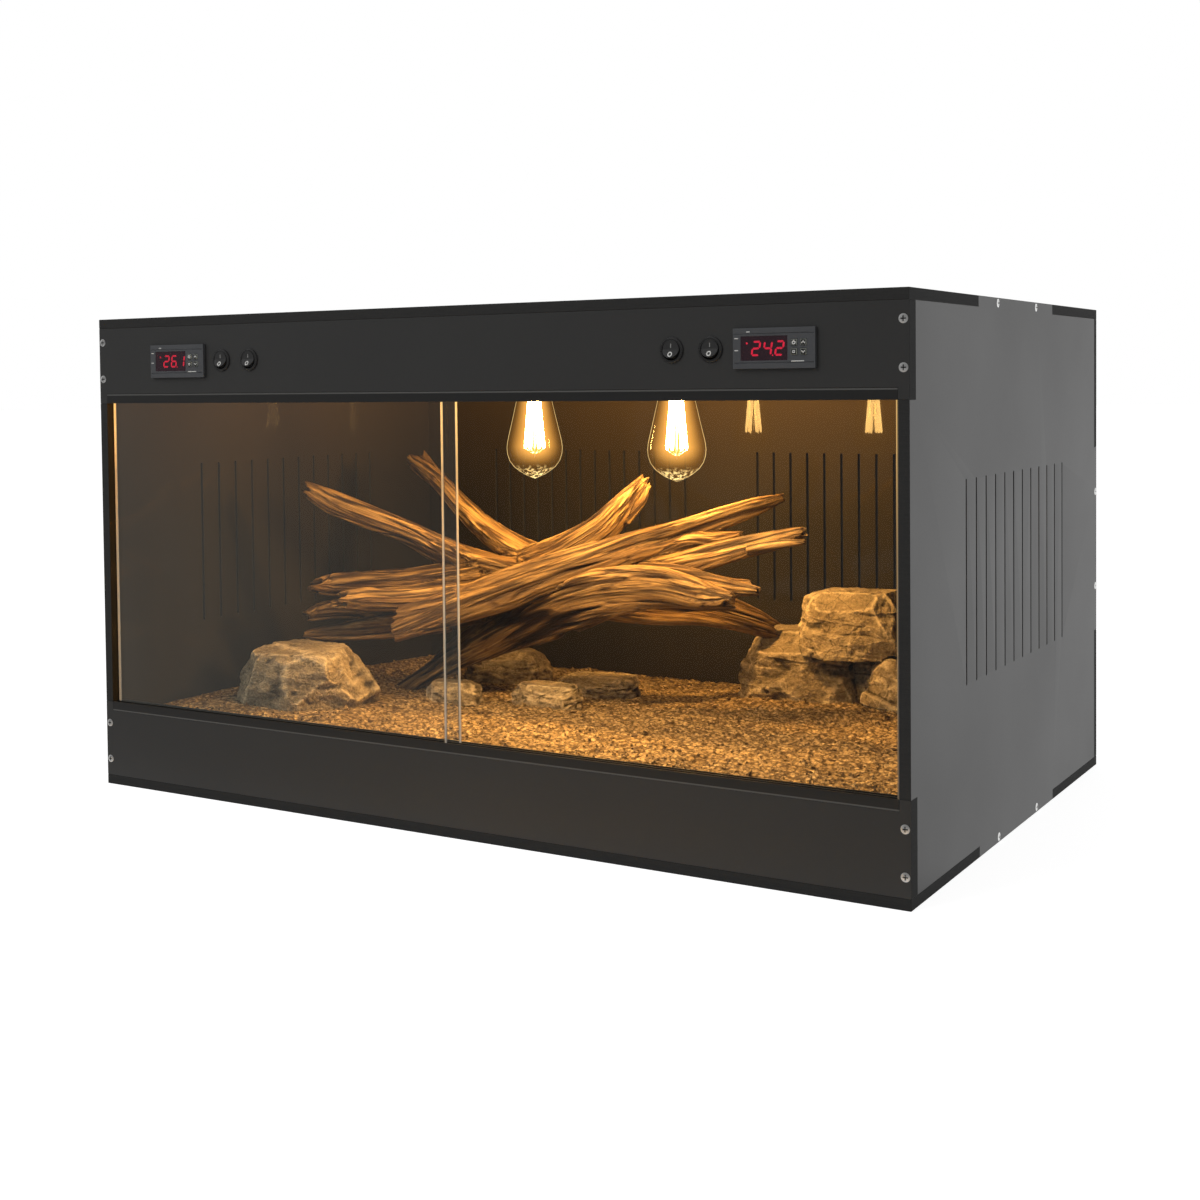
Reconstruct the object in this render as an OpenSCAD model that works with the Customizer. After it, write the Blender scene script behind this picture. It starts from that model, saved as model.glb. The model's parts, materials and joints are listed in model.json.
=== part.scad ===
// Reptile terrarium: a cabinet of screwed boards with two sliding glass doors,
// two temperature controllers, four rocker switches, two hanging lamps and a furnished floor.
// Millimetres. +X right, +Y towards the back, +Z up. The origin is at the middle of the
// whole model's footprint, on the surface that it stands on.

/* [Cabinet] */
// Overall width of the cabinet, left to right
cabinet_w = 914; // [880:2:1200]
// Overall depth of the cabinet, front to back
cabinet_d = 610; // [600:2:760]
// Overall height of the cabinet
cabinet_h = 508; // [480:2:640]
// Thickness of the base, top, side and back boards
board_t = 10; // [9:0.5:13]
// Thickness of the two front fascia boards
fascia_t = 15; // [15:0.5:18]
// Height of each fascia board
fascia_h = 81; // [76:1:90]
// Length of the tab on each side board that locks into the base and top
edge_tab_l = 246; // [160:2:300]
// Height of the tab on each side board that locks into the back
back_tab_h = 204; // [140:2:260]

/* [Ventilation] */
// Width of a vent slot
slot_w = 3; // [2:0.2:4]
// Height of the vent slots
slot_h = 183; // [120:1:220]
// Height of the middle of the slots above the floor
slot_mid_z = 254; // [240:1:280]
// Number of slots in each side board
side_slots = 12; // [4:1:14]
// Spacing of the side slots
side_slot_pitch = 29; // [20:0.5:30]
// Number of slots in each of the two groups in the back board
back_slots = 14; // [4:1:15]
// Spacing of the back slots
back_slot_pitch = 22; // [14:0.5:23]
// Distance from the middle of the cabinet to the middle of each back group
back_group_x = 193; // [180:1:210]

/* [Glass doors] */
// Thickness of the door glass
glass_t = 4; // [3:0.5:5]
// Overlap of the two doors in the middle
glass_overlap = 13; // [10:1:40]
// Gap between a closed door's outer edge and the side board
door_gap = 0.5; // [0.2:0.1:2]
// Chamfer along the vertical edges of the glass
glass_chamfer = 0.6; // [0.2:0.1:1]
// Play between the glass and each wall of its channel
channel_play = 0.5; // [0.3:0.1:1]
// Height of the door tracks
track_h = 10; // [9:0.5:14]
// Thickness of the front and middle walls of the tracks
track_wall = 1.5; // [1:0.1:2]
// Depth of the channels in the lower track
lower_channel = 4.5; // [3:0.5:6]
// Thickness of the web at the top of the upper track
upper_web = 1.2; // [0.8:0.1:2]
// Length of glass held in the upper track
upper_hold = 4; // [3:0.5:4]

/* [Screws] */
// Diameter of the board screws
screw_d = 4; // [3:0.5:5]
// Diameter of the screw heads
screw_head_d = 8; // [7:0.5:9]
// Length of the board screws
screw_l = 32; // [28:1:40]
// Spacing of the two screws at each fascia end
fascia_screw_pitch = 39.5; // [30:0.5:50]
// Spacing of the two screws in a side board's long tab
edge_screw_pitch = 127; // [100:1:140]
// Spacing of the two screws in a side board's rear tab
back_screw_pitch = 105; // [80:1:110]

/* [Controllers] */
// Width of the controller bezel
bezel_w = 75; // [70:0.5:80]
// Height of the controller bezel
bezel_h = 34.5; // [32:0.5:40]
// How far the bezel stands out of the fascia
bezel_proud = 3.5; // [3:0.1:5]
// Width of the controller case, which fills the cut-out in the fascia
case_w = 70.6; // [68:0.1:72]
// Height of the controller case
case_h = 28.6; // [27:0.1:30]
// Length of the controller case behind the fascia's front face
case_l = 83; // [60:1:88]
// Distance from each side of the cabinet to the middle of the nearer controller
controller_inset = 117; // [97:1:127]
// Width of the display window
window_w = 42.6; // [38:0.2:43]
// Height of the display window
window_h = 20.6; // [16:0.2:21]
// Distance from the bezel's left edge to the window
window_left = 7.4; // [6:0.1:8]
// Width of a controller button
button_w = 5.2; // [4:0.1:5.6]
// Height of a controller button
button_h = 5; // [4:0.1:5.4]
// Distance from the bezel's left edge to the first column of buttons
button_left = 56.2; // [56:0.1:57]
// Spacing of the button columns
button_pitch_x = 8.4; // [8:0.1:8.6]
// Spacing of the button rows
button_pitch_z = 7.8; // [7:0.1:8.4]
// Travel of a button
button_travel = 0.5; // [0.3:0.05:0.6]

/* [Rocker switches] */
// Diameter of the switch flange
switch_flange_d = 23; // [22:0.1:25]
// Diameter of the switch barrel
switch_barrel_d = 19.9; // [19.5:0.1:20.5]
// Length of the switch barrel
switch_barrel_l = 18; // [16:0.5:24]
// Diameter of the rocker
rocker_d = 15.8; // [15:0.1:16]
// Angle that a rocker turns through
rocker_throw = 24; // [16:1:24]
// Distance from the middle of a controller to the nearer switch
switch_offset = 60; // [55:1:64]
// Spacing of the two switches beside a controller
switch_pitch = 37.5; // [28:0.5:44]

/* [Lamps] */
// Distance from the middle of the cabinet to each lamp
lamp_x = 90; // [70:1:150]
// Largest diameter of the bulb glass
bulb_d = 64; // [56:1:68]
// Length of a bulb from its top contact to its tip
bulb_l = 140; // [125:1:145]
// Height of the lamp holder
holder_h = 52; // [44:1:60]
// Diameter of the holder's body
holder_d = 40; // [36:1:46]

/* [Wiring] */
// Depth of the cover behind the upper fascia
cover_d = 100; // [95:1:120]
// Thickness of the cover sheet
cover_t = 2.5; // [1.5:0.5:3]
// Diameter of the leads inside the cabinet
lead_d = 6; // [5:0.5:7]
// Bore of the mains cable gland
gland_bore = 8; // [6:0.5:9]

/* [Floor] */
// Depth of the sand at the front
sand_front = 65; // [62:1:72]
// Depth of the sand at the back
sand_back = 45; // [30:1:60]

/* [Hidden] */
$fn = 48;

// A hair more than a cut needs, so that no skin is left
eps = 0.1;
// Slack round a fixed piece in its hole
fit = 0.05;

// Places that the whole model shares
rocker_hinge_y = 1.5;
rocker_face = 3.76;
rocker_end_y = rocker_face + rocker_d / 2 * tan(rocker_throw / 2);
rocker_proud = rocker_d / 2 * sin(rocker_throw / 2) + rocker_end_y * cos(rocker_throw / 2)
    - rocker_hinge_y;
button_proud = bezel_proud + 0.8;
front_proud = max(rocker_proud, button_proud);
gland_proud = 21;
front_y = (front_proud - cabinet_d - gland_proud) / 2;
back_y = front_y + cabinet_d;
mid_y = front_y + cabinet_d / 2;
half_w = cabinet_w / 2;
controller_x = half_w - controller_inset;
switch_x = controller_x - switch_offset;
inner_x = half_w - board_t;
inner_back_y = back_y - board_t;
floor_z = board_t;
ceiling_z = cabinet_h - board_t;
lower_fascia_top = floor_z + fascia_h;
upper_fascia_bottom = ceiling_z - fascia_h;
// Height of the controllers and switches above the middle of the upper fascia
panel_rise = 3.5;
panel_z = ceiling_z - fascia_h / 2 + panel_rise;

// Doors
channel_w = glass_t + 2 * channel_play;
front_pane_y = track_wall + channel_play;
rear_pane_y = front_pane_y + glass_t + 2 * channel_play + track_wall;
pane_w = inner_x - door_gap + glass_overlap / 2;
pane_z = lower_fascia_top - lower_channel;
pane_top = upper_fascia_bottom + upper_hold;

function both(list) = [for (side = [-1, 1], item = list) [side, item]];

// Screws

screw_dome = 0.8;

// A raised countersunk screw with a cross recess. Its head is at the origin, its shank runs along +Z.
module screw(length, d = screw_d, head_d = screw_head_d) {
    head_h = (head_d - d) / 2;
    difference() {
        rotate_extrude()
            polygon([[0, -screw_dome], [head_d * 0.25, -screw_dome * 0.75],
                [head_d * 0.42, -screw_dome * 0.3], [head_d / 2, 0], [d / 2, head_h],
                [d / 2, length - d], [0, length]]);
        for (turn = [0, 90])
            rotate(turn)
                translate([-head_d * 0.3, -0.5, -screw_dome - eps])
                    cube([head_d * 0.6, 1, screw_dome + 1.2]);
    }
}

// The hole that a screw sits in, with the screw's own head and shank
module screw_hole(length, d = screw_d, head_d = screw_head_d) {
    head_h = (head_d - d) / 2;
    rotate_extrude()
        polygon([[0, -eps], [head_d / 2 + fit, -eps], [head_d / 2 + fit, 0],
            [d / 2 + fit, head_h], [d / 2 + fit, length - d], [0, length + fit]]);
}

// Places every fascia screw at the ends of the board whose middle is at height z
module at_fascia_ends(z) {
    for (end = both([-1, 1]))
        translate([end[0] * (half_w - board_t / 2), front_y, z + end[1] * fascia_screw_pitch / 2])
            rotate([-90, 0, 0]) children();
}

// Height of the middle between a fascia's screws, which lies towards the board's outer edge
lower_fascia_mid = floor_z + fascia_h / 2 - 3;
upper_fascia_mid = ceiling_z - fascia_h / 2 + 5.5;

// Places the screws of one side board: two up, two down and two at the back
module at_side(side) {
    for (end = [-1, 1]) {
        for (z = [board_t / 2, cabinet_h - board_t / 2])
            translate([side * half_w, mid_y + end * edge_screw_pitch / 2, z])
                rotate([0, -side * 90, 0]) children();
        translate([side * half_w, back_y - board_t / 2,
            slot_mid_z + end * back_screw_pitch / 2])
            rotate([0, -side * 90, 0]) children();
    }
}

// Cabinet boards

module board_colour() {
    color("#2e2e2e") children();
}

module flat_panel(z) {
    difference() {
        translate([-half_w, front_y, z]) cube([cabinet_w, cabinet_d, board_t]);
        for (side = [-1, 1])
            translate([side > 0 ? inner_x : -half_w - eps, mid_y - edge_tab_l / 2, z - eps])
                cube([board_t + eps, edge_tab_l, board_t + 2 * eps]);
        for (side = [-1, 1]) at_side(side) screw_hole(screw_l);
    }
}

module base_panel() {
    board_colour() flat_panel(0);
}

module top_panel() {
    board_colour()
        difference() {
            flat_panel(ceiling_z);
            at_cover_top_screws() screw_hole(cover_screw_l, cover_screw_d, cover_screw_head_d);
        }
}

// A rounded slot through a board that faces +Y, its middle at the origin
module slot(depth) {
    translate([-slot_w / 2, -eps, -slot_h / 2 + slot_w / 2])
        cube([slot_w, depth + 2 * eps, slot_h - slot_w]);
    for (end = [-1, 1])
        translate([0, -eps, end * (slot_h - slot_w) / 2])
            rotate([-90, 0, 0]) cylinder(d = slot_w, h = depth + 2 * eps);
}

// The right-hand side board
module side_board() {
    below = slot_mid_z - back_tab_h / 2;
    above = slot_mid_z + back_tab_h / 2;
    strip = (cabinet_d - edge_tab_l) / 2;
    difference() {
        translate([inner_x, front_y, 0]) cube([board_t, cabinet_d, cabinet_h]);
        for (y = [front_y - eps, back_y - strip], z = [-eps, ceiling_z])
            translate([inner_x - eps, y, z])
                cube([board_t + 2 * eps, strip + eps, board_t + eps]);
        for (z = [floor_z, upper_fascia_bottom])
            translate([inner_x - eps, front_y - eps, z])
                cube([board_t + 2 * eps, fascia_t + eps, fascia_h]);
        for (span = [[floor_z, below], [above, ceiling_z]])
            translate([inner_x - eps, inner_back_y, span[0]])
                cube([board_t + 2 * eps, board_t + eps, span[1] - span[0]]);
        for (i = [0 : side_slots - 1])
            translate([half_w, mid_y + (i - (side_slots - 1) / 2) * side_slot_pitch, slot_mid_z])
                rotate(90) slot(board_t);
        at_side(1) screw_hole(screw_l);
        for (z = [lower_fascia_mid, upper_fascia_mid]) at_fascia_ends(z) screw_hole(screw_l);
    }
}

module right_side_panel() {
    board_colour() side_board();
}

module left_side_panel() {
    board_colour() mirror([1, 0, 0]) side_board();
}

module back_panel() {
    board_colour()
        difference() {
            translate([-half_w, inner_back_y, floor_z])
                cube([cabinet_w, board_t, ceiling_z - floor_z]);
            for (x = [-half_w - eps, inner_x])
                translate([x, inner_back_y - eps, slot_mid_z - back_tab_h / 2])
                    cube([board_t + eps, board_t + 2 * eps, back_tab_h]);
            for (side = [-1, 1], i = [0 : back_slots - 1])
                translate([side * back_group_x + (i - (back_slots - 1) / 2) * back_slot_pitch,
                    inner_back_y, slot_mid_z])
                    slot(board_t);
            for (side = [-1, 1]) at_side(side) screw_hole(screw_l);
            translate([gland_x, inner_back_y - eps, gland_z])
                rotate([-90, 0, 0]) cylinder(d = gland_thread_d + 2 * fit, h = board_t + 2 * eps);
        }
}

// A fascia board with the rebate that its door track sits in
module fascia(z, track_z, mid_z) {
    difference() {
        translate([-half_w, front_y, z]) cube([cabinet_w, fascia_t, fascia_h]);
        translate([-inner_x, front_y - eps, track_z])
            cube([2 * inner_x, fascia_t + 2 * eps, track_h + eps]);
        at_fascia_ends(mid_z) screw_hole(screw_l);
    }
}

module lower_fascia() {
    board_colour() fascia(floor_z, lower_fascia_top - track_h, lower_fascia_mid);
}

module upper_fascia() {
    board_colour()
        difference() {
            fascia(upper_fascia_bottom, upper_fascia_bottom - eps, upper_fascia_mid);
            for (side = [-1, 1]) {
                translate([side * controller_x - case_w / 2 - cutout_gap, front_y - eps,
                    panel_z - case_h / 2 - cutout_gap])
                    cube([case_w + 2 * cutout_gap, fascia_t + 2 * eps, case_h + 2 * cutout_gap]);
                for (x = [switch_x, switch_x - switch_pitch])
                    translate([side * x, front_y - eps, panel_z])
                        rotate([-90, 0, 0])
                            cylinder(d = switch_barrel_d + 2 * fit, h = fascia_t + 2 * eps);
            }
            at_cover_front_screws() screw_hole(cover_screw_l, cover_screw_d, cover_screw_head_d);
        }
}

// Door tracks

module track_colour() {
    color("#262624") children();
}

// Section of a track with two channels, its channels opening upwards
module track_section(channel_depth) {
    difference() {
        square([fascia_t, track_h]);
        for (y = [front_pane_y, rear_pane_y])
            translate([y - channel_play, track_h - channel_depth])
                square([channel_w, channel_depth + eps]);
    }
}

module track(channel_depth) {
    rotate([90, 0, 90])
        linear_extrude(2 * inner_x, center = true) track_section(channel_depth);
}

module lower_glass_track() {
    track_colour()
        translate([0, front_y, lower_fascia_top - track_h]) track(lower_channel);
}

module upper_glass_track() {
    track_colour()
        translate([0, front_y, upper_fascia_bottom + track_h])
            mirror([0, 0, 1]) track(track_h - upper_web);
}

// A pane with its vertical edges chamfered
module pane(x, y) {
    c = glass_chamfer;
    color("#cfe3e0", 0.3)
        translate([x, front_y + y, pane_z])
            linear_extrude(pane_top - pane_z)
                polygon([[c, 0], [pane_w - c, 0], [pane_w, c], [pane_w, glass_t - c],
                    [pane_w - c, glass_t], [c, glass_t], [0, glass_t - c], [0, c]]);
}

module left_glass_door() {
    pane(-inner_x + door_gap, rear_pane_y);
}

module right_glass_door() {
    pane(inner_x - door_gap - pane_w, front_pane_y);
}

// Screws of the cabinet

module screw_colour() {
    color("#c9c9c6") children();
}

module upper_fascia_screws() {
    screw_colour() at_fascia_ends(upper_fascia_mid) screw(screw_l);
}

module lower_fascia_screws() {
    screw_colour() at_fascia_ends(lower_fascia_mid) screw(screw_l);
}

module left_side_screws() {
    screw_colour() at_side(-1) screw(screw_l);
}

module right_side_screws() {
    screw_colour() at_side(1) screw(screw_l);
}

// Temperature controllers. Each is drawn with the middle of its bezel at x = 0, z = 0 and the
// fascia's front face at y = 0.

cutout_gap = 0.2;
bezel_plate = 2.2;
bezel_groove = 0.5;
window_recess = 0.3;
window_flange = 1;
window_flange_t = 0.8;
digit_w = 8.2;
digit_h = 13;
digit_pitch = 10.8;
digit_bar = 1.7;
digit_slant = 8;
digit_shift = 2.2;
button_gap = 0.25;
button_rise = 0.6;
button_flange = 0.6;
button_flange_t = 0.6;
plate_back_y = bezel_plate - bezel_proud;
window_mid_x = window_left + window_w / 2 - bezel_w / 2;
case_front_y = plate_back_y + button_flange_t + button_travel + 2 * fit;
digit_t = case_front_y - plate_back_y - window_flange_t;
clip_l = 24;
clip_t = 4;

module at_controller(side) {
    translate([side * controller_x, front_y, panel_z]) children();
}

// A block in the bezel's own directions: its middle at x, z and its faces from y0 to y1
module block(x, z, w, h, y0, y1) {
    translate([x - w / 2, y0, z - h / 2]) cube([w, y1 - y0, h]);
}

function button_x(column) = button_left + column * button_pitch_x - bezel_w / 2;
function button_z(row) = (0.5 - row) * button_pitch_z + button_rise;

module bezel() {
    band = (bezel_h - window_h) / 2 - 2;
    color("#4a4b4d")
        difference() {
            block(0, 0, bezel_w, bezel_h, -bezel_proud, 0);
            for (end = [-1, 1])
                block(0, end * (bezel_h / 2 - band), bezel_w - 2, 0.7,
                    -bezel_proud - eps, bezel_groove - bezel_proud);
            block(0, 0, case_w + 2 * cutout_gap, case_h + 2 * cutout_gap, plate_back_y, eps);
            block(window_mid_x, 0, window_w + 2 * fit, window_h + 2 * fit,
                -bezel_proud - eps, plate_back_y + eps);
            for (column = [0, 1], row = [0, 1])
                block(button_x(column), button_z(row), button_w + 2 * button_gap,
                    button_h + 2 * button_gap, -bezel_proud - eps, plate_back_y + eps);
        }
}

module window() {
    color("#2a1a22", 0.8) {
        block(window_mid_x, 0, window_w, window_h, window_recess - bezel_proud,
            plate_back_y + eps);
        block(window_mid_x, 0, window_w + 2 * window_flange, window_h + 2 * window_flange,
            plate_back_y, plate_back_y + window_flange_t);
    }
}

// Bars of a seven-bar digit in the order top, upper left, upper right, middle, lower left,
// lower right, bottom
digit_bars = [
    [1, 1, 1, 0, 1, 1, 1], [0, 0, 1, 0, 0, 1, 0], [1, 0, 1, 1, 1, 0, 1], [1, 0, 1, 1, 0, 1, 1],
    [0, 1, 1, 1, 0, 1, 0], [1, 1, 0, 1, 0, 1, 1], [1, 1, 0, 1, 1, 1, 1], [1, 0, 1, 0, 0, 1, 0],
    [1, 1, 1, 1, 1, 1, 1], [1, 1, 1, 1, 0, 1, 1]];

// One bar with pointed ends, along x, its middle at the origin
module digit_bar(length) {
    half = length / 2 - 0.25;
    tip = digit_bar / 2;
    polygon([[-half, 0], [tip - half, -tip], [half - tip, -tip], [half, 0], [half - tip, tip],
        [tip - half, tip]]);
}

// A digit drawn flat, its middle at the origin
module digit(number) {
    bars = digit_bars[number];
    wide = digit_w - digit_bar;
    tall = (digit_h - digit_bar) / 2;
    for (row = [0, 1, 2])
        if (bars[3 * row] == 1)
            translate([0, (1 - row) * tall]) digit_bar(wide);
    for (row = [0, 1], column = [0, 1])
        if (bars[1 + 3 * row + column] == 1)
            translate([(column - 0.5) * wide, (0.5 - row) * tall]) rotate(90) digit_bar(tall);
}

// The lit bars behind the window: three digits, the point and the relay lamp
module digits(numbers) {
    mid = window_mid_x + digit_shift;
    color("#e01028")
        translate([mid, case_front_y, 0])
            rotate([90, 0, 0])
                linear_extrude(digit_t) {
                    for (i = [0 : len(numbers) - 1])
                        translate([(i - 1) * digit_pitch, 0])
                            multmatrix([[1, tan(digit_slant), 0, 0], [0, 1, 0, 0], [0, 0, 1, 0],
                                [0, 0, 0, 1]])
                                digit(numbers[i]);
                    translate([digit_pitch / 2 - 1, -digit_h / 2 + 0.6]) circle(d = 1.3);
                    translate([-window_w / 2 + 2, digit_h / 2 - 2]) circle(d = 1.8);
                }
}

module controller_case() {
    color("#1d1d1f")
        difference() {
            union() {
                block(0, 0, case_w, case_h, case_front_y, case_l);
                block(0, -case_h / 4, case_w - 8, case_h / 2 - 2, case_l - eps, case_l + 9);
            }
            for (i = [0 : 9])
                translate([(i - 4.5) * 6, case_l + 9 + eps, -case_h / 4])
                    rotate([90, 0, 0]) cylinder(d = 4, h = 5);
        }
}

module controller_clips() {
    color("#c8642a")
        for (side = [-1, 1])
            difference() {
                block(side * (case_w / 2 + clip_t / 2 + fit), 0, clip_t, case_h - 6,
                    fascia_t, fascia_t + clip_l);
                block(side * (case_w / 2 + clip_t + fit), 0, clip_t, case_h - 14,
                    fascia_t + 5, fascia_t + clip_l + eps);
            }
}

module button(column, row) {
    color("#8f9086") {
        block(button_x(column), button_z(row), button_w, button_h, -button_proud,
            plate_back_y + fit + eps);
        block(button_x(column), button_z(row), button_w + 2 * button_flange,
            button_h + 2 * button_flange, plate_back_y + fit,
            plate_back_y + fit + button_flange_t);
    }
}

module left_controller_bezel() { at_controller(-1) bezel(); }
module left_controller_case() { at_controller(-1) controller_case(); }
module left_controller_window() { at_controller(-1) window(); }
module left_controller_digits() { at_controller(-1) digits([2, 6, 1]); }
module left_controller_clips() { at_controller(-1) controller_clips(); }
module left_power_button() { at_controller(-1) button(0, 0); }
module left_set_button() { at_controller(-1) button(0, 1); }
module left_up_button() { at_controller(-1) button(1, 0); }
module left_down_button() { at_controller(-1) button(1, 1); }
module right_controller_bezel() { at_controller(1) bezel(); }
module right_controller_case() { at_controller(1) controller_case(); }
module right_controller_window() { at_controller(1) window(); }
module right_controller_digits() { at_controller(1) digits([2, 4, 2]); }
module right_controller_clips() { at_controller(1) controller_clips(); }
module right_power_button() { at_controller(1) button(0, 0); }
module right_set_button() { at_controller(1) button(0, 1); }
module right_up_button() { at_controller(1) button(1, 0); }
module right_down_button() { at_controller(1) button(1, 1); }

// Rocker switches. Each is drawn with its middle at x = 0, z = 0 and the fascia's front face
// at y = 0.

switch_flange_t = 2;
switch_wall = 1.05;
switch_back = 3;
cavity_r = switch_barrel_d / 2 - switch_wall;
trunnion_d = 2;
trunnion_gap = 0.35;
terminal_w = 4.8;
terminal_t = 0.8;
terminal_l = 8;
rocker_back = 3;

module at_switch(x) {
    translate([x, front_y, panel_z]) children();
}

module switch_body() {
    flange_r = switch_flange_d / 2;
    color("#1b1b1b") {
        difference() {
            rotate([-90, 0, 0])
                rotate_extrude()
                    polygon([[cavity_r, -switch_flange_t], [flange_r - 1.2, -switch_flange_t],
                        [flange_r - 0.3, -switch_flange_t * 0.6], [flange_r, 0],
                        [switch_barrel_d / 2, 0], [switch_barrel_d / 2, switch_barrel_l],
                        [0, switch_barrel_l], [0, switch_barrel_l - switch_back],
                        [cavity_r, switch_barrel_l - switch_back]]);
            translate([0, rocker_hinge_y, 0])
                rotate([0, 90, 0])
                    cylinder(d = trunnion_d + 2 * fit, h = switch_barrel_d + 2 * eps,
                        center = true);
        }
        for (side = [-1, 1])
            block(0, side * 4, terminal_w, terminal_t, switch_barrel_l - eps,
                switch_barrel_l + terminal_l);
    }
}

// The rocker at rest, its upper half pressed in
module rocker() {
    reach = rocker_d / 2 + 1;
    ends = rocker_face + reach * tan(rocker_throw / 2);
    color("#232323")
        translate([0, rocker_hinge_y, 0])
            rotate([-rocker_throw / 2, 0, 0]) {
                intersection() {
                    rotate([90, 0, 0])
                        cylinder(d = rocker_d, h = 4 * rocker_back + rocker_d, center = true);
                    rotate([90, 0, 90])
                        linear_extrude(2 * reach, center = true)
                            polygon([[rocker_back, -reach], [rocker_back, reach],
                                [-ends, reach], [-rocker_face, 0], [-ends, -reach]]);
                }
                rotate([0, 90, 0])
                    cylinder(d = trunnion_d, h = switch_barrel_d - 2 * trunnion_gap,
                        center = true);
            }
}

module left_outer_switch_body() { at_switch(-switch_x) switch_body(); }
module left_outer_rocker() { at_switch(-switch_x) rocker(); }
module left_inner_switch_body() { at_switch(switch_pitch - switch_x) switch_body(); }
module left_inner_rocker() { at_switch(switch_pitch - switch_x) rocker(); }
module right_inner_switch_body() { at_switch(switch_x - switch_pitch) switch_body(); }
module right_inner_rocker() { at_switch(switch_x - switch_pitch) rocker(); }
module right_outer_switch_body() { at_switch(switch_x) switch_body(); }
module right_outer_rocker() { at_switch(switch_x) rocker(); }

// Lamps. Each is drawn with its axis at x = 0, y = 0 and the ceiling at z = 0.

cap_d = 26;
cap_l = 27;
cap_seat = 20;
holder_flange_d = 60;
holder_flange_t = 8;
glass_wall = 0.8;
cap_top = -holder_h + cap_seat;
cap_bottom = cap_top - cap_l;
bulb_tip = cap_top - bulb_l;
glass_l = bulb_l - cap_l;
neck_r = cap_d / 2 - 0.5;

module at_lamp(side) {
    translate([side * lamp_x, mid_y, ceiling_z]) children();
}

module lamp_holder() {
    color("#1f1e1c")
        rotate_extrude()
            polygon([[0, 0], [holder_flange_d / 2, 0],
                [holder_flange_d / 2, -holder_flange_t + 2],
                [holder_flange_d / 2 - 2, -holder_flange_t], [holder_d / 2, -holder_flange_t - 3],
                [holder_d / 2, -holder_h + 3], [holder_d / 2 - 2, -holder_h],
                [cap_d / 2 + 0.4, -holder_h], [cap_d / 2 + 0.4, cap_top], [0, cap_top]]);
}

module bulb_cap() {
    contact = 3;
    turns = 5;
    pitch = 3.2;
    color("#b08a4a")
        rotate_extrude()
            polygon(concat([[0, cap_top], [4.5, cap_top], [5, cap_top - contact],
                [cap_d / 2 - 1.4, cap_top - contact - 1]],
                [for (i = [0 : 2 * turns]) [cap_d / 2 - (i % 2 == 0 ? 0.9 : 0),
                    cap_top - contact - 2 - i * pitch / 2]],
                [[cap_d / 2 - 0.9, cap_bottom + 3], [cap_d / 2, cap_bottom + 2],
                [cap_d / 2, cap_bottom], [0, cap_bottom]]));
}

// Radius of the bulb glass at a height above its tip: round below its widest place,
// then drawn in to the neck
widest = 0.29 * glass_l;
function glass_r(h) = h < widest
    ? bulb_d / 2 * sqrt(1 - pow(1 - h / widest, 2))
    : neck_r + (bulb_d / 2 - neck_r) * pow(cos(90 * (h - widest) / (glass_l - widest)), 1.7);

glass_steps = 24;

// Heights of the glass outline, closer together at the tip
function glass_h(i) = glass_l * pow(i / glass_steps, 1.6);

module bulb_glass() {
    pip_r = 2.2;
    outer = [for (i = [1 : glass_steps]) [glass_r(glass_h(i)), bulb_tip + glass_h(i)]];
    inner = [for (i = [glass_steps : -1 : 3])
        [glass_r(glass_h(i)) - glass_wall, bulb_tip + glass_h(i)]];
    color("#f0c070", 0.35)
        rotate_extrude()
            polygon(concat([[0, bulb_tip]], [[pip_r * 0.6, bulb_tip + 0.1]], outer, inner,
                [[0, bulb_tip + glass_h(1) + 1.5]]));
}

strands = 8;
strand_d = 1.2;
cage_r = 11;
cage_top = cap_bottom - 34;
cage_bottom = bulb_tip + 30;

// Glass stem, two carrier discs and a cage of upright lit strands
module filament() {
    stem_d = 8;
    color("#ffb050") {
        translate([0, 0, cage_bottom - 1]) cylinder(d = 3, h = cap_bottom - cage_bottom + 1);
        translate([0, 0, cage_top + 6]) cylinder(d = stem_d, h = cap_bottom - cage_top - 6);
        for (z = [cage_top, cage_bottom])
            translate([0, 0, z - 1]) cylinder(r = cage_r, h = 1.5);
        for (i = [0 : strands - 1])
            rotate(i * 360 / strands)
                translate([cage_r - strand_d, 0, cage_bottom])
                    cylinder(d = strand_d, h = cage_top - cage_bottom);
    }
}

module left_lamp_holder() { at_lamp(-1) lamp_holder(); }
module left_bulb_cap() { at_lamp(-1) bulb_cap(); }
module left_bulb_glass() { at_lamp(-1) bulb_glass(); }
module left_bulb_filament() { at_lamp(-1) filament(); }
module right_lamp_holder() { at_lamp(1) lamp_holder(); }
module right_bulb_cap() { at_lamp(1) bulb_cap(); }
module right_bulb_glass() { at_lamp(1) bulb_glass(); }
module right_bulb_filament() { at_lamp(1) filament(); }

// Wiring behind the upper fascia

cover_screw_d = 3;
cover_screw_head_d = 6;
cover_screw_l = 11;
cover_lip = 11;
cover_gap = 0.5;
cover_back_y = front_y + fascia_t + cover_d;
cover_bottom_z = upper_fascia_bottom + track_h + 1;
cover_screw_x = [-0.9, -0.4, 0, 0.4, 0.9] * inner_x;

// Screws from behind through the cover's front lip into the fascia
module at_cover_front_screws() {
    for (x = [cover_screw_x[1], cover_screw_x[2], cover_screw_x[3]])
        translate([x, front_y + fascia_t + cover_t, cover_bottom_z + cover_lip / 2 + 1])
            rotate([90, 0, 0]) children();
}

// Screws from below through the cover's rear lip into the top
module at_cover_top_screws() {
    for (x = cover_screw_x)
        translate([x, cover_back_y + cover_lip / 2, ceiling_z - cover_t]) children();
}

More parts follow.
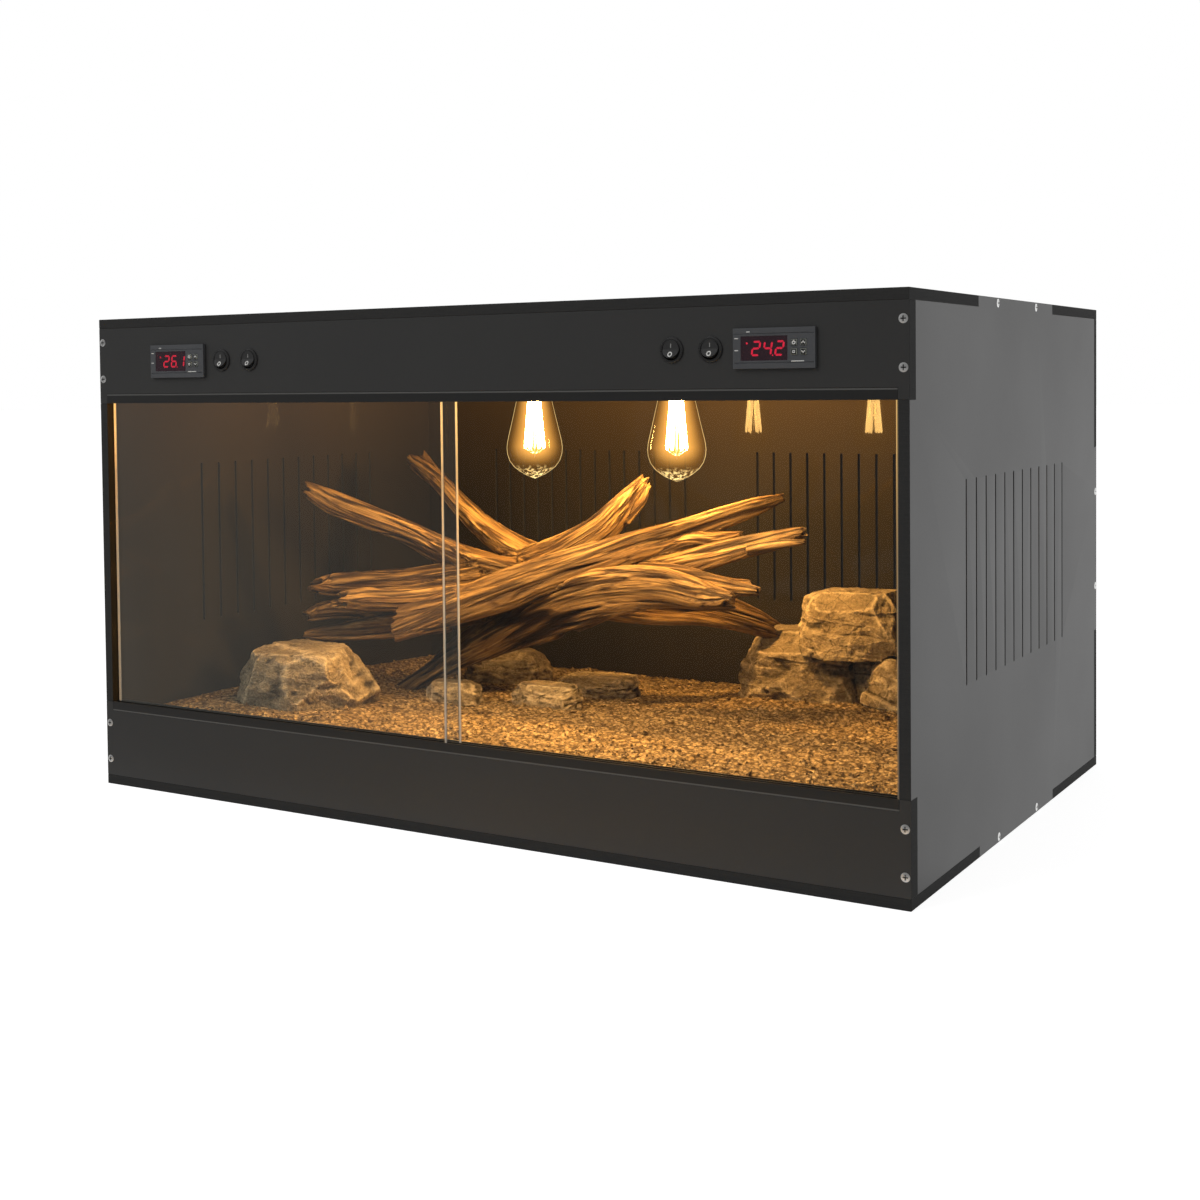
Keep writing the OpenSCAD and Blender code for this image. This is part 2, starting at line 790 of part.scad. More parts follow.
module wiring_cover() {
    w = 2 * inner_x - 2 * cover_gap;
    color("#252525")
        difference() {
            translate([-w / 2, 0, 0])
                rotate([90, 0, 90])
                    linear_extrude(w)
                        polygon([
                            [front_y + fascia_t, cover_bottom_z],
                            [cover_back_y, cover_bottom_z],
                            [cover_back_y, ceiling_z - cover_t],
                            [cover_back_y + cover_lip, ceiling_z - cover_t],
                            [cover_back_y + cover_lip, ceiling_z],
                            [cover_back_y - cover_t, ceiling_z],
                            [cover_back_y - cover_t, cover_bottom_z + cover_t],
                            [front_y + fascia_t + cover_t, cover_bottom_z + cover_t],
                            [front_y + fascia_t + cover_t, cover_bottom_z + cover_lip],
                            [front_y + fascia_t, cover_bottom_z + cover_lip]]);
            at_cover_front_screws() screw_hole(cover_screw_l, cover_screw_d, cover_screw_head_d);
            at_cover_top_screws() screw_hole(cover_screw_l, cover_screw_d, cover_screw_head_d);
        }
}

module wiring_cover_screws() {
    screw_colour() {
        at_cover_front_screws() screw(cover_screw_l, cover_screw_d, cover_screw_head_d);
        at_cover_top_screws() screw(cover_screw_l, cover_screw_d, cover_screw_head_d);
    }
}

// Cable gland in the back board and the lead that runs from it along the right side board

gland_thread_d = gland_bore + 4;
gland_nut_d = gland_bore + 13;
gland_nut_t = 5;
gland_x = inner_x - gland_nut_d / 2 - 1;
gland_z = ceiling_z - 16;
lead_z = -lead_d / 2 - 0.3;

module mains_gland() {
    color("#202020")
        translate([gland_x, 0, gland_z])
            rotate([-90, 0, 0])
                difference() {
                    union() {
                        translate([0, 0, inner_back_y - gland_nut_t])
                            cylinder(d = gland_nut_d, h = gland_nut_t, $fn = 6);
                        translate([0, 0, inner_back_y - gland_nut_t - 2])
                            cylinder(d = gland_thread_d, h = board_t + gland_nut_t + 4);
                        translate([0, 0, back_y])
                            cylinder(d = gland_nut_d, h = gland_nut_t, $fn = 6);
                        translate([0, 0, back_y + gland_nut_t - eps])
                            cylinder(d1 = gland_nut_d - 3, d2 = gland_bore + 4,
                                h = gland_proud - gland_nut_t + eps);
                    }
                    translate([0, 0, inner_back_y - gland_nut_t - 3])
                        cylinder(d = gland_bore, h = board_t + gland_nut_t + gland_proud + 4);
                }
}

// A straight lead along +Y from y0 to y1
module straight_lead(x, z, y0, y1) {
    translate([x, y0, z]) rotate([-90, 0, 0]) cylinder(d = lead_d, h = y1 - y0);
}

mains_lead_end = inner_back_y - gland_nut_t - 2;
lamp_lead_end = mid_y - holder_flange_d / 2;

module inside_leads() {
    color("#151515") {
        for (side = [-1, 1])
            straight_lead(side * lamp_x, ceiling_z + lead_z, cover_back_y + cover_lip + fit,
                lamp_lead_end - fit);
        straight_lead(gland_x, gland_z, cover_back_y, mains_lead_end);
    }
}

clip_width = 8;

// Saddles that hold the leads to the ceiling and to the right side board
module lead_clips() {
    ceiling_spots = [0.3, 0.75];
    side_spots = [0.15, 0.5, 0.85];
    run = lamp_lead_end - cover_back_y - cover_lip;
    side_run = mains_lead_end - cover_back_y;
    color("#3a3a38") {
        for (side = [-1, 1], spot = ceiling_spots)
            difference() {
                translate([side * lamp_x - lead_d, cover_back_y + cover_lip + spot * run
                    - clip_width / 2, ceiling_z - lead_d - 2])
                    cube([2 * lead_d, clip_width, lead_d + 2]);
                straight_lead_hole(side * lamp_x, ceiling_z + lead_z, ceiling_z);
            }
        for (spot = side_spots)
            difference() {
                translate([gland_x - lead_d, cover_back_y + spot * side_run - clip_width / 2,
                    gland_z - lead_d / 2 - 2])
                    cube([inner_x - gland_x + lead_d, clip_width, lead_d + 4]);
                translate([gland_x, 0, gland_z])
                    rotate([90, 0, 0])
                        cylinder(d = lead_d + 2 * fit, h = cabinet_d, center = true);
            }
    }
}

// A channel for a lead, open up to a height
module straight_lead_hole(x, z, top) {
    translate([x, 0, z])
        rotate([90, 0, 0])
            cylinder(d = lead_d + 2 * fit, h = cabinet_d, center = true);
    translate([x - lead_d / 2 - fit, -cabinet_d / 2, z])
        cube([lead_d + 2 * fit, cabinet_d, top - z + eps]);
}

// Floor furnishings. Their places are given from the middle of a cabinet of layout_w inside,
// and spread out with a wider one. Driftwood heights start at the sand's surface at the front;
// each rock on the sand stands at the sand's height under its middle.

layout_w = 894;
spread = 2 * inner_x / layout_w;

sand_front_z = floor_z + sand_front;
sand_back_z = floor_z + sand_back;

// The sand keeps its depth over the front part, then falls away at two slopes, which meet at
// sand_bend_y from the middle, at a share of the whole fall
sand_level_d = 160;
sand_bend_y = 130;
sand_bend = 0.45;
sand_y = [front_y + fascia_t, front_y + fascia_t + sand_level_d, mid_y + sand_bend_y,
    inner_back_y];
sand_z = [sand_front_z, sand_front_z, sand_back_z + (sand_front_z - sand_back_z) * sand_bend,
    sand_back_z];

module sand_block() {
    translate([-inner_x, 0, 0])
        rotate([90, 0, 90])
            linear_extrude(2 * inner_x)
                polygon(concat([for (i = [0 : 3]) [sand_y[i], sand_z[i]]],
                    [[inner_back_y, floor_z], [sand_y[0], floor_z]]));
}

module sand_bed() {
    color("#8a6038") sand_block();
}

module at_floor() {
    translate([0, mid_y, sand_front_z]) children();
}

// Rocks reach a little into the sand, and are cut off at its surface
sunk = 12;

// A rock on the sand, its size given above the surface
module standing_rock(x, y, size, turn, seed, levels = boulder_levels) {
    ground = lookup(mid_y + y, [for (i = [0 : 3]) [sand_y[i], sand_z[i]]]);
    translate([x * spread, mid_y + y, ground - sunk])
        rock([size[0], size[1], size[2] + sunk], turn, seed, levels);
}

// An angular boulder: the hull of uneven, squarish outlines, one at each of its levels. size is
// its width, depth and height; levels lists [share of height, share of width].
rock_corners = 9;
rock_squareness = 3;
function squarish(a) = pow(pow(abs(cos(a)), rock_squareness) + pow(abs(sin(a)), rock_squareness),
    -1 / rock_squareness);

boulder_levels = [[0, 1], [0.45, 0.98], [0.85, 0.82], [1, 0.6]];
flat_levels = [[0, 1], [0.5, 1], [0.85, 0.9], [1, 0.74]];

module rock(size, turn, seed, levels) {
    uneven = rands(0.84, 1, rock_corners * len(levels), seed);
    drift = rands(-0.04, 0.04, 2 * len(levels), seed + 1);
    rotate(turn)
        hull()
            for (k = [0 : len(levels) - 1])
                translate([drift[2 * k] * size[0], drift[2 * k + 1] * size[1],
                    levels[k][0] * size[2]])
                    linear_extrude(0.2)
                        polygon([for (i = [0 : rock_corners - 1])
                            let (a = 360 * (i + (k % 2) / 2) / rock_corners,
                                r = uneven[k * rock_corners + i] * levels[k][1] * squarish(a) / 2)
                            [r * size[0] * cos(a), r * size[1] * sin(a)]]);
}

module rock_colour() {
    color("#7d7063") children();
}

module left_boulder_mass() {
    standing_rock(-298, -150, [178, 146, 68], -4, 11);
}

module left_boulder() {
    rock_colour() difference() { left_boulder_mass(); sand_block(); }
}

module flat_stones() {
    rock_colour()
        difference() {
            union() {
                standing_rock(-170, -50, [72, 52, 26], 10, 21, flat_levels);
                standing_rock(-226, 142, [122, 78, 40], 8, 22, flat_levels);
                standing_rock(-70, -12, [96, 56, 26], -6, 23, flat_levels);
                standing_rock(-62, 92, [116, 66, 26], 12, 24, flat_levels);
            }
            sand_block();
        }
}

module right_lower_mass() {
    standing_rock(152, 205, [160, 120, 86], 6, 31);
    standing_rock(290, 186, [120, 110, 64], -10, 34);
}

module right_lower_rocks() {
    rock_colour() difference() { right_lower_mass(); sand_block(); }
}

// The upper rock lies in the dip between the lower two, and is cut to their shape
module right_upper_rock() {
    rock_colour()
        difference() {
            at_floor()
                translate([216 * spread, 196, 44]) rock([140, 120, 76], 14, 35, boulder_levels);
            right_lower_mass();
        }
}

// Driftwood. A limb is a list of [x, y, z, radius], and runs smoothly through its points.
limbs = [
    [[-355, -90, 236, 8], [-320, -80, 212, 14], [-240, -50, 176, 19], [-165, -20, 150, 22],
        [-100, -5, 140, 24]],
    [[-325, 85, 270, 9], [-275, 70, 245, 13], [-175, 35, 188, 17], [-110, 10, 155, 22]],
    [[28, 45, 255, 9], [10, 35, 225, 13], [-20, 25, 190, 18], [-80, 0, 152, 26]],
    [[185, 65, 230, 9], [155, 55, 220, 12], [80, 35, 196, 17], [10, 15, 172, 22],
        [-70, 0, 148, 30], [-170, -25, 136, 24]],
    [[255, -35, 200, 10], [210, -30, 195, 12], [130, -20, 166, 14], [60, -15, 146, 17]],
    [[215, -65, 146, 8], [180, -60, 146, 14], [95, -45, 148, 23], [0, -25, 136, 33],
        [-80, -20, 118, 34]],
    [[126, 178, 58, 13], [112, 150, 82, 15], [80, 95, 104, 17], [-10, 10, 130, 20]],
    [[-290, -65, 112, 18], [-200, -45, 116, 30], [-120, -28, 122, 39], [-20, -12, 134, 40],
        [60, -8, 146, 27]],
    [[-340, -100, 120, 13], [-300, -90, 130, 18], [-230, -60, 126, 22], [-150, -30, 130, 24]],
    [[-348, -118, 82, 11], [-310, -108, 100, 15], [-240, -75, 108, 19], [-170, -45, 112, 22]],
    [[-222, -120, 86, 12], [-180, -105, 96, 15], [-120, -60, 112, 20], [-60, -20, 128, 20]],
    [[-284, -5, -12, 13], [-245, -5, 26, 15], [-170, -10, 70, 21], [-90, -14, 98, 27],
        [-10, -12, 124, 22]]];

limb_steps = 3;
limb_sides = 9;

// Point at share t of the way from b to c on a smooth curve through a, b, c and d
function smooth(a, b, c, d, t) = 0.5 * (2 * b + (c - a) * t + (2 * a - 5 * b + 4 * c - d) * t * t
    + (3 * b - a - 3 * c + d) * t * t * t);
function at_end(list, i) = list[max(0, min(len(list) - 1, i))];
function limb_curve(limb) = concat(
    [for (i = [0 : len(limb) - 2], s = [0 : limb_steps - 1])
        smooth(at_end(limb, i - 1), limb[i], limb[i + 1], at_end(limb, i + 2), s / limb_steps)],
    [limb[len(limb) - 1]]);

// A thin slice across a limb, facing along a direction
module limb_slice(p, along) {
    translate([p[0] * spread, p[1], p[2]])
        rotate([0, acos(along[2] / norm(along)), atan2(along[1], along[0])])
            linear_extrude(0.4, center = true)
                circle(r = p[3], $fn = limb_sides);
}

module limb(points) {
    curve = limb_curve(points);
    last = len(curve) - 1;
    for (i = [0 : last - 1]) {
        before = at_end(curve, i + 1) - at_end(curve, i - 1);
        after = at_end(curve, i + 2) - at_end(curve, i);
        hull() {
            limb_slice(curve[i], before);
            limb_slice(curve[i + 1], after);
        }
    }
}

module driftwood() {
    color("#8a5a2e")
        difference() {
            at_floor() union() {
                for (points = limbs) limb(points);
            }
            sand_block();
            left_boulder_mass();
            right_lower_mass();
        }
}

base_panel();
top_panel();
left_side_panel();
right_side_panel();
back_panel();
upper_fascia();
lower_fascia();
upper_glass_track();
lower_glass_track();
left_glass_door();
right_glass_door();
upper_fascia_screws();
lower_fascia_screws();
left_side_screws();
right_side_screws();
left_controller_bezel();
left_controller_case();
left_controller_window();
left_controller_digits();
left_controller_clips();
left_power_button();
left_set_button();
left_up_button();
left_down_button();
right_controller_bezel();
right_controller_case();
right_controller_window();
right_controller_digits();
right_controller_clips();
right_power_button();
right_set_button();
right_up_button();
right_down_button();
left_outer_switch_body();
left_outer_rocker();
left_inner_switch_body();
left_inner_rocker();
right_inner_switch_body();
right_inner_rocker();
right_outer_switch_body();
right_outer_rocker();
left_lamp_holder();
left_bulb_cap();
left_bulb_glass();
left_bulb_filament();
right_lamp_holder();
right_bulb_cap();
right_bulb_glass();
right_bulb_filament();
wiring_cover();
wiring_cover_screws();
inside_leads();
lead_clips();
mains_gland();
sand_bed();
driftwood();
left_boulder();
flat_stones();
right_lower_rocks();
right_upper_rock();
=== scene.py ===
# %% [markdown]
# # Dressing a glass-fronted terrarium
# The cabinet, doors, switches and lamps were built as exact solids. This lesson loads them as
# a fixed frame, gives every board, pane and button its finish, and makes the forms that only
# show up close: split driftwood, broken rock, loose sand and printed marks.
# All lengths are metres. +X is to the right, +Y to the back and +Z up.

# %% Load the built model
import json
import math

import bmesh
import bpy
import numpy as np
from mathutils import Matrix, Vector
from mathutils.bvhtree import BVHTree


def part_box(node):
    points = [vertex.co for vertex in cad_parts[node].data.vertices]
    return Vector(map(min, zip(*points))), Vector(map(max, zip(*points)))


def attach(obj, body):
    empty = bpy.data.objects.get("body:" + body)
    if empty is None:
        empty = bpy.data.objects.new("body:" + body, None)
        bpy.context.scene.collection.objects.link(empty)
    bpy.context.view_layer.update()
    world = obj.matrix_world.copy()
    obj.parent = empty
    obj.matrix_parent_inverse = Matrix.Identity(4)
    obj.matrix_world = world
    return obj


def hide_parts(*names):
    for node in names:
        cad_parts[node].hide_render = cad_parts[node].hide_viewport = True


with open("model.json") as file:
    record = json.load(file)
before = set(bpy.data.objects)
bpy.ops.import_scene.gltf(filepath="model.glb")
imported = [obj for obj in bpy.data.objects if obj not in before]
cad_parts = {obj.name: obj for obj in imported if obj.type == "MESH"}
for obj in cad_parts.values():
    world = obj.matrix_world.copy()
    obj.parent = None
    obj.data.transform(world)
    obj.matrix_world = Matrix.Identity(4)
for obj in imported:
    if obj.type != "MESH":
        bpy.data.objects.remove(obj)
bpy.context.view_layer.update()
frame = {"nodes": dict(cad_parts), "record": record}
NODES = frame["nodes"]
MM = 0.001
TAU = 2 * math.pi


def corners(node):
    """The low and the high corner of a node's box."""
    return np.array(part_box(node))


cabinet_low, cabinet_high = corners("base_panel")
room_low = np.array([0, corners("upper_fascia")[1][1], cabinet_high[2]])
cabinet_high[2] = corners("top_panel")[1][2]
room_high = np.array([corners("right_side_panel")[0][0], corners("back_panel")[0][1],
                      corners("top_panel")[0][2]])
room_low[0] = -room_high[0]
mid_y = (cabinet_low[1] + cabinet_high[1]) / 2
print("cabinet", np.round(cabinet_high - cabinet_low, 4), "room", np.round(room_high - room_low, 4))

# %% [markdown]
# ## The camera
# The cabinet is seen from its front right corner, from a little below the height of its top.
# A long lens keeps the upright edges upright. The camera is turned by three angles, applied
# from the outside in: a turn about the vertical, a small tilt down, and a slight roll.

# %% Camera
CAMERA_AT = (0.92084, -1.62648, 0.4337)
TURN, TILT, ROLL = (math.radians(a) for a in (31.7999, -1.9605, -0.6396))
FOCAL_SHARE = 1.40768

camera = bpy.data.objects.new("camera", bpy.data.cameras.new("camera"))
camera.matrix_world = (Matrix.Translation(CAMERA_AT) @ Matrix.Rotation(TURN, 4, "Z")
                       @ Matrix.Rotation(math.pi / 2 + TILT, 4, "X") @ Matrix.Rotation(ROLL, 4, "Z"))
camera.data.sensor_width = 36
camera.data.lens = 36 * FOCAL_SHARE
camera.data.shift_x, camera.data.shift_y = 0.05, -0.1325
camera.data.clip_end = 60
bpy.context.collection.objects.link(camera)
bpy.context.scene.camera = camera
bpy.context.scene.view_settings.view_transform = "Standard"
print("camera looks along", np.round(-np.array(camera.matrix_world.col[2])[:3], 4))

# %% [markdown]
# ## Sums on sockets
# A finish is a small graph of nodes. Written by hand, every sum is five lines of wiring. Here
# one class wraps a socket, so that `1 - mask * 0.4` adds the Math nodes by itself. Any other
# node comes from the graph's own `node` method: settings first, then what goes into it.

# %% Shader arithmetic
class Ink:
    """A socket that can stand in a sum. Each operator adds one Math node."""

    def __init__(self, graph, socket):
        self.graph, self.socket = graph, socket

    def sum(self, operation, *values):
        return self.graph.node("Math", dict(enumerate(values)), operation=operation)

    def __add__(self, other): return self.sum("ADD", self, other)
    def __radd__(self, other): return self.sum("ADD", other, self)
    def __sub__(self, other): return self.sum("SUBTRACT", self, other)
    def __rsub__(self, other): return self.sum("SUBTRACT", other, self)
    def __mul__(self, other): return self.sum("MULTIPLY", self, other)
    def __rmul__(self, other): return self.sum("MULTIPLY", other, self)
    def __truediv__(self, other): return self.sum("DIVIDE", self, other)
    def __rtruediv__(self, other): return self.sum("DIVIDE", other, self)
    def __pow__(self, other): return self.sum("POWER", self, other)
    def __gt__(self, other): return self.sum("GREATER_THAN", self, other)
    def __lt__(self, other): return self.sum("LESS_THAN", self, other)
    def __abs__(self): return self.sum("ABSOLUTE", self)

    def clamp(self): return self.sum("MINIMUM", 1.0, self.sum("MAXIMUM", 0.0, self))


class Graph:
    """A node tree, filled through its own methods."""

    def __init__(self, tree):
        self.tree = tree

    def feed(self, value, target):
        """Links an Ink to a socket, or sets a fixed value on it."""
        if isinstance(value, Ink):
            self.tree.links.new(value.socket, target)
        else:
            target.default_value = value

    def node(self, kind, inputs=None, out=0, **settings):
        node = self.tree.nodes.new("ShaderNode" + kind)
        for name, value in settings.items():
            if name == "stops":
                elements = node.color_ramp.elements
                while len(elements) < len(value):
                    elements.new(0.5)
                for element, (place, colour) in zip(elements, value):
                    element.position, element.color = place, (*colour, 1)
            else:
                setattr(node, name, value)
        for name, value in (inputs or {}).items():
            self.feed(value, node.inputs[name])
        return Ink(self, node.outputs[out])

    def at(self, attribute=None):
        """Object coordinates, or the values of a piece's own attribute."""
        if attribute:
            return self.node("Attribute", attribute_name=attribute, out="Vector")
        return self.node("TexCoord", out="Object")

    def axes(self, value):
        """The three numbers of a vector."""
        parts = self.node("SeparateXYZ", {0: value}).socket.node.outputs
        return [Ink(self, parts[axis]) for axis in "XYZ"]

    def noise(self, scale, detail=3.0, roughness=0.5, distortion=0.0, stretch=(1, 1, 1), over=None):
        """Noise over object coordinates or an attribute, stretched by three factors."""
        place = self.node("Mapping", {"Vector": self.at(over), "Scale": stretch})
        return self.node("TexNoise", {"Vector": place, "Scale": scale, "Detail": detail,
                                      "Roughness": roughness, "Distortion": distortion})

    def ramp(self, value, *stops):
        return self.node("ValToRGB", {"Fac": value}, stops=stops)

    def mix(self, share, a, b):
        a, b = (colour if isinstance(colour, Ink) else (*colour, 1) for colour in (a, b))
        return self.node("Mix", {0: share, 6: a, 7: b}, out=2, data_type="RGBA")

    def layer(self, share, under, over):
        """One shader over another, by a share from 0 to 1."""
        return self.node("MixShader", {0: share, 1: under, 2: over})

    def show(self, shader):
        """Sends a shader to the tree's output."""
        output = next(n for n in self.tree.nodes if n.name.endswith(" Output"))
        self.feed(shader, output.inputs["Surface"])


class Finish(Graph):
    """One material: a Principled shader with its fixed numbers, and the nodes that vary it."""

    def __init__(self, name, colour, roughness, **fixed):
        self.material = bpy.data.materials.new(name)
        self.material.use_nodes = True
        self.material.diffuse_color = (*colour, 1)
        super().__init__(self.material.node_tree)
        self.shader = self.tree.nodes["Principled BSDF"]
        self.put(Base_Color=(*colour, 1), Roughness=roughness, **fixed)

    def put(self, **sockets):
        """Sets fixed values on the shader's sockets, or links Inks to them."""
        for name, value in sockets.items():
            self.feed(value, self.shader.inputs[name.replace("_", " ")])

    def bump(self, height, strength, distance, under=None):
        inputs = {"Height": height, "Strength": strength, "Distance": distance}
        relief = self.node("Bump", {**inputs, "Normal": under} if under else inputs)
        self.put(Normal=relief)
        return relief


# %% [markdown]
# ## Surfaces from arrays
# Most new pieces are grids: a function gives a point for each pair of parameters, and the
# whole array goes into the mesh at once. A grid that closes on itself is wrapped, and one that
# ends in a point or an open ring is capped.

# %% Mesh helpers
def tidy_faces(piece):
    """Merges doubles and turns every face outwards."""
    work = bmesh.new()
    work.from_mesh(piece.data)
    bmesh.ops.remove_doubles(work, verts=work.verts, dist=1e-6)
    bmesh.ops.recalc_face_normals(work, faces=work.faces)
    work.to_mesh(piece.data)
    work.free()


def put_mesh(name, points, faces, finish, body="cabinet", smooth=True, tidy=True, attributes=None,
             slot=None, replaces=None):
    """A finished piece from an array of points and a list or array of faces, riding on a body.
    It may carry attributes and stand in for a node. The slot argument is not used."""
    mesh = bpy.data.meshes.new(name)
    mesh.from_pydata(np.asarray(points).reshape(-1, 3).tolist(), [],
                     faces.tolist() if isinstance(faces, np.ndarray) else faces)
    mesh.validate()
    mesh.polygons.foreach_set("use_smooth", np.full(len(mesh.polygons), smooth))
    for key, values in (attributes or {}).items():
        mesh.attributes.new(key, "FLOAT_VECTOR", "POINT").data.foreach_set("vector", values.ravel())
    mesh.update()
    piece = bpy.data.objects.new(name, mesh)
    bpy.context.collection.objects.link(piece)
    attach(piece, body)
    if tidy:
        tidy_faces(piece)
    dress(piece, finish)
    if replaces:
        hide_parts(replaces)
    return piece


def grid_faces(rows, columns, wrap_rows=False, wrap_columns=False):
    """Quads of a grid whose points are numbered row by row."""
    r = np.arange(rows if wrap_rows else rows - 1)
    c = np.arange(columns if wrap_columns else columns - 1)
    r, c = np.meshgrid(r, c, indexing="ij")
    r2, c2 = (r + 1) % rows, (c + 1) % columns
    quads = [r * columns + c, r * columns + c2, r2 * columns + c2, r2 * columns + c]
    return np.stack(quads, -1).reshape(-1, 4)


def merged(parts):
    """Points and faces of several (points, list of faces) pairs as one pair."""
    points, faces, start = [], [], 0
    for part_points, part_faces in parts:
        flat = part_points.reshape(-1, 3)
        points.append(flat)
        faces += [[start + i for i in face] for face in part_faces]
        start += len(flat)
    return np.concatenate(points), faces


def face_arrays(mesh):
    """The normal and the centre of every face."""
    normal, centre = np.empty((2, 3 * len(mesh.polygons)))
    mesh.polygons.foreach_get("normal", normal)
    mesh.polygons.foreach_get("center", centre)
    return normal.reshape(-1, 3), centre.reshape(-1, 3)


def share_out(mesh, finishes, which):
    """Adds finishes after a mesh's first one, and gives each face the number of its own."""
    for finish in finishes:
        mesh.materials.append(finish.material)
    mesh.polygons.foreach_set("material_index", which.astype(np.int32))


def softened(node, width, finish, body="cabinet", segments=2, shortest=0.002, sort=None):
    """A copy of a node with its sharp edges rounded by a Bevel of that width. Edges shorter
    than shortest, such as those round a slot's end, stay sharp. sort(mesh) may give further
    finishes to some of the faces."""
    piece = bpy.data.objects.new(node + "_soft", NODES[node].data.copy())
    bpy.context.collection.objects.link(piece)
    work = bmesh.new()
    work.from_mesh(piece.data)
    bmesh.ops.remove_doubles(work, verts=work.verts, dist=2e-6)
    bmesh.ops.dissolve_limit(work, angle_limit=math.radians(1), verts=work.verts, edges=work.edges)
    weight = work.edges.layers.float.new("bevel_weight_edge")
    for edge in work.edges:
        sharp = len(edge.link_faces) == 2 and edge.calc_face_angle() > math.radians(32)
        edge[weight] = float(sharp and edge.calc_length() > shortest)
        edge.smooth = not sharp or edge[weight] == 1
    work.to_mesh(piece.data)
    work.free()
    piece.data.polygons.foreach_set("use_smooth", np.ones(len(piece.data.polygons), bool))
    bevel = piece.modifiers.new("edge", "BEVEL")
    bevel.width, bevel.segments, bevel.limit_method = width, segments, "WEIGHT"
    bevel.use_clamp_overlap = False
    piece.modifiers.new("even light", "WEIGHTED_NORMAL").keep_sharp = True
    dress(piece, finish)
    if sort:
        sort(piece.data)
    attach(piece, body)
    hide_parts(node)


def dress(piece, finish):
    """Gives a piece one finish."""
    piece.data.materials.clear()
    piece.data.materials.append(finish.material)


def paint(slot_name, finish):
    """Gives every node of a record slot its finish."""
    names = [s["node"] for s in frame["record"]["subparts"] if s["material_slot"] == slot_name]
    for name in names:
        dress(NODES[name], finish)
    print(slot_name, "on", len(names), "nodes")
    return names


def body_of(node):
    """A rocker and a button ride on bodies of their own, and all else on the cabinet."""
    if node.endswith("_rocker"):
        return node + "_body"
    return node.replace("_button", "_key") if node.endswith("_button") else "cabinet"


def loose_solids(node):
    """The triangles of each separate solid in a node, as arrays of corners."""
    work = bmesh.new()
    work.from_mesh(NODES[node].data)
    bmesh.ops.remove_doubles(work, verts=work.verts, dist=1e-6)
    left, solids = set(work.faces), []
    while left:
        reached, todo = set(), [min(left, key=lambda f: f.index)]
        while todo:
            face = todo.pop()
            if face in left:
                left.remove(face)
                reached.add(face)
                todo += [f for e in face.edges for f in e.link_faces]
        ordered = sorted(reached, key=lambda f: f.index)
        solids.append(np.array([[v.co[:] for v in face.verts] for face in ordered]))
    work.free()
    return solids


def value_noise(points, size, seed, octaves=1):
    """Smooth random values from -1 to 1 at each point: random numbers on a lattice of that
    size, blended along each axis with 3t^2 - 2t^3, each octave half as wide and half as strong."""
    table = np.random.default_rng(seed).uniform(-1, 1, 4096)
    total, weight = np.zeros(len(points)), 0.0
    for octave in range(octaves):
        q = points / size * 2 ** octave + 17.3 * octave
        cell = np.floor(q).astype(np.int64)
        t = q - cell
        t = t * t * (3 - 2 * t)
        value = np.zeros(len(points))
        for corner in range(8):
            step = np.array([corner & 1, corner >> 1 & 1, corner >> 2 & 1])
            key = (cell + step) @ np.array([73856093, 19349663, 83492791])
            share = np.prod(np.where(step, t, 1 - t), axis=1)
            value += share * table[key % 4096]
        total += value / 2 ** octave
        weight += 1 / 2 ** octave
    return total / weight


# %% [markdown]
# ## Boards and tracks
# The cabinet is made of black foam board with a fine satin skin. Its colour is almost even, so
# what makes it look real is the sheen. Inside, the skin is polished enough to mirror the lamps.
# Where a board was sawn, as on the finger joints, its edge is open foam: dull, with no sheen.
# The tracks are extruded plastic, whose fine lines run along their length.

# %% Board finishes
def skin_finish():
    skin = Finish("satin board skin", (0.022, 0.022, 0.0218), 0.42)
    cloud, grain = skin.noise(5.0, 4.0), skin.noise(900.0, 2.0)
    dust_and_glow = (skin.noise(260.0, 3.0, 0.7) > 0.66) * 0.35
    skin.put(Base_Color=skin.mix(cloud * 0.55 + dust_and_glow * 0.4, (0.025, 0.025, 0.0245),
                                 (0.040, 0.040, 0.039)),
             Roughness=0.37 + cloud * 0.14 + grain * 0.05)
    skin.bump(grain, 0.12, 0.0002)
    return skin


def inside_finish():
    """The same skin inside: smoother, with faint upright streaks left by wiping, and warmer and paler
    towards the top, which is painted lamplight."""
    inside = Finish("polished board skin", (0.018, 0.015, 0.011), 0.04, Specular_IOR_Level=0.14)
    streak, cloud = inside.noise(1.0, 4.0, 0.6, stretch=(40, 40, 1.2)), inside.noise(6.0)
    # painted lamplight: the skin turns warm and pale towards the top
    high = ((inside.axes(inside.at())[2] - 0.22) * 4.5).clamp() ** 2.0
    colour = inside.mix(streak * 0.5 + cloud * 0.5, (0.013, 0.0115, 0.0092), (0.023, 0.0200, 0.0157))
    inside.put(Base_Color=inside.mix(high * 0.8, colour, (0.060, 0.043, 0.025)),
               Roughness=0.010 + streak * 0.014)
    return inside


def sawn_finish():
    sawn = Finish("sawn foam edge", (0.034, 0.034, 0.034), 0.85, Specular_IOR_Level=0.15)
    cells, lines = sawn.noise(1300.0, 3.0, 0.7), sawn.noise(1.0, stretch=(60, 60, 900))
    sawn.put(Base_Color=sawn.mix(cells * 0.6 + lines * 0.4, (0.018, 0.018, 0.018),
                                 (0.048, 0.048, 0.047)))
    sawn.bump(cells, 0.4, 0.0003)
    return sawn


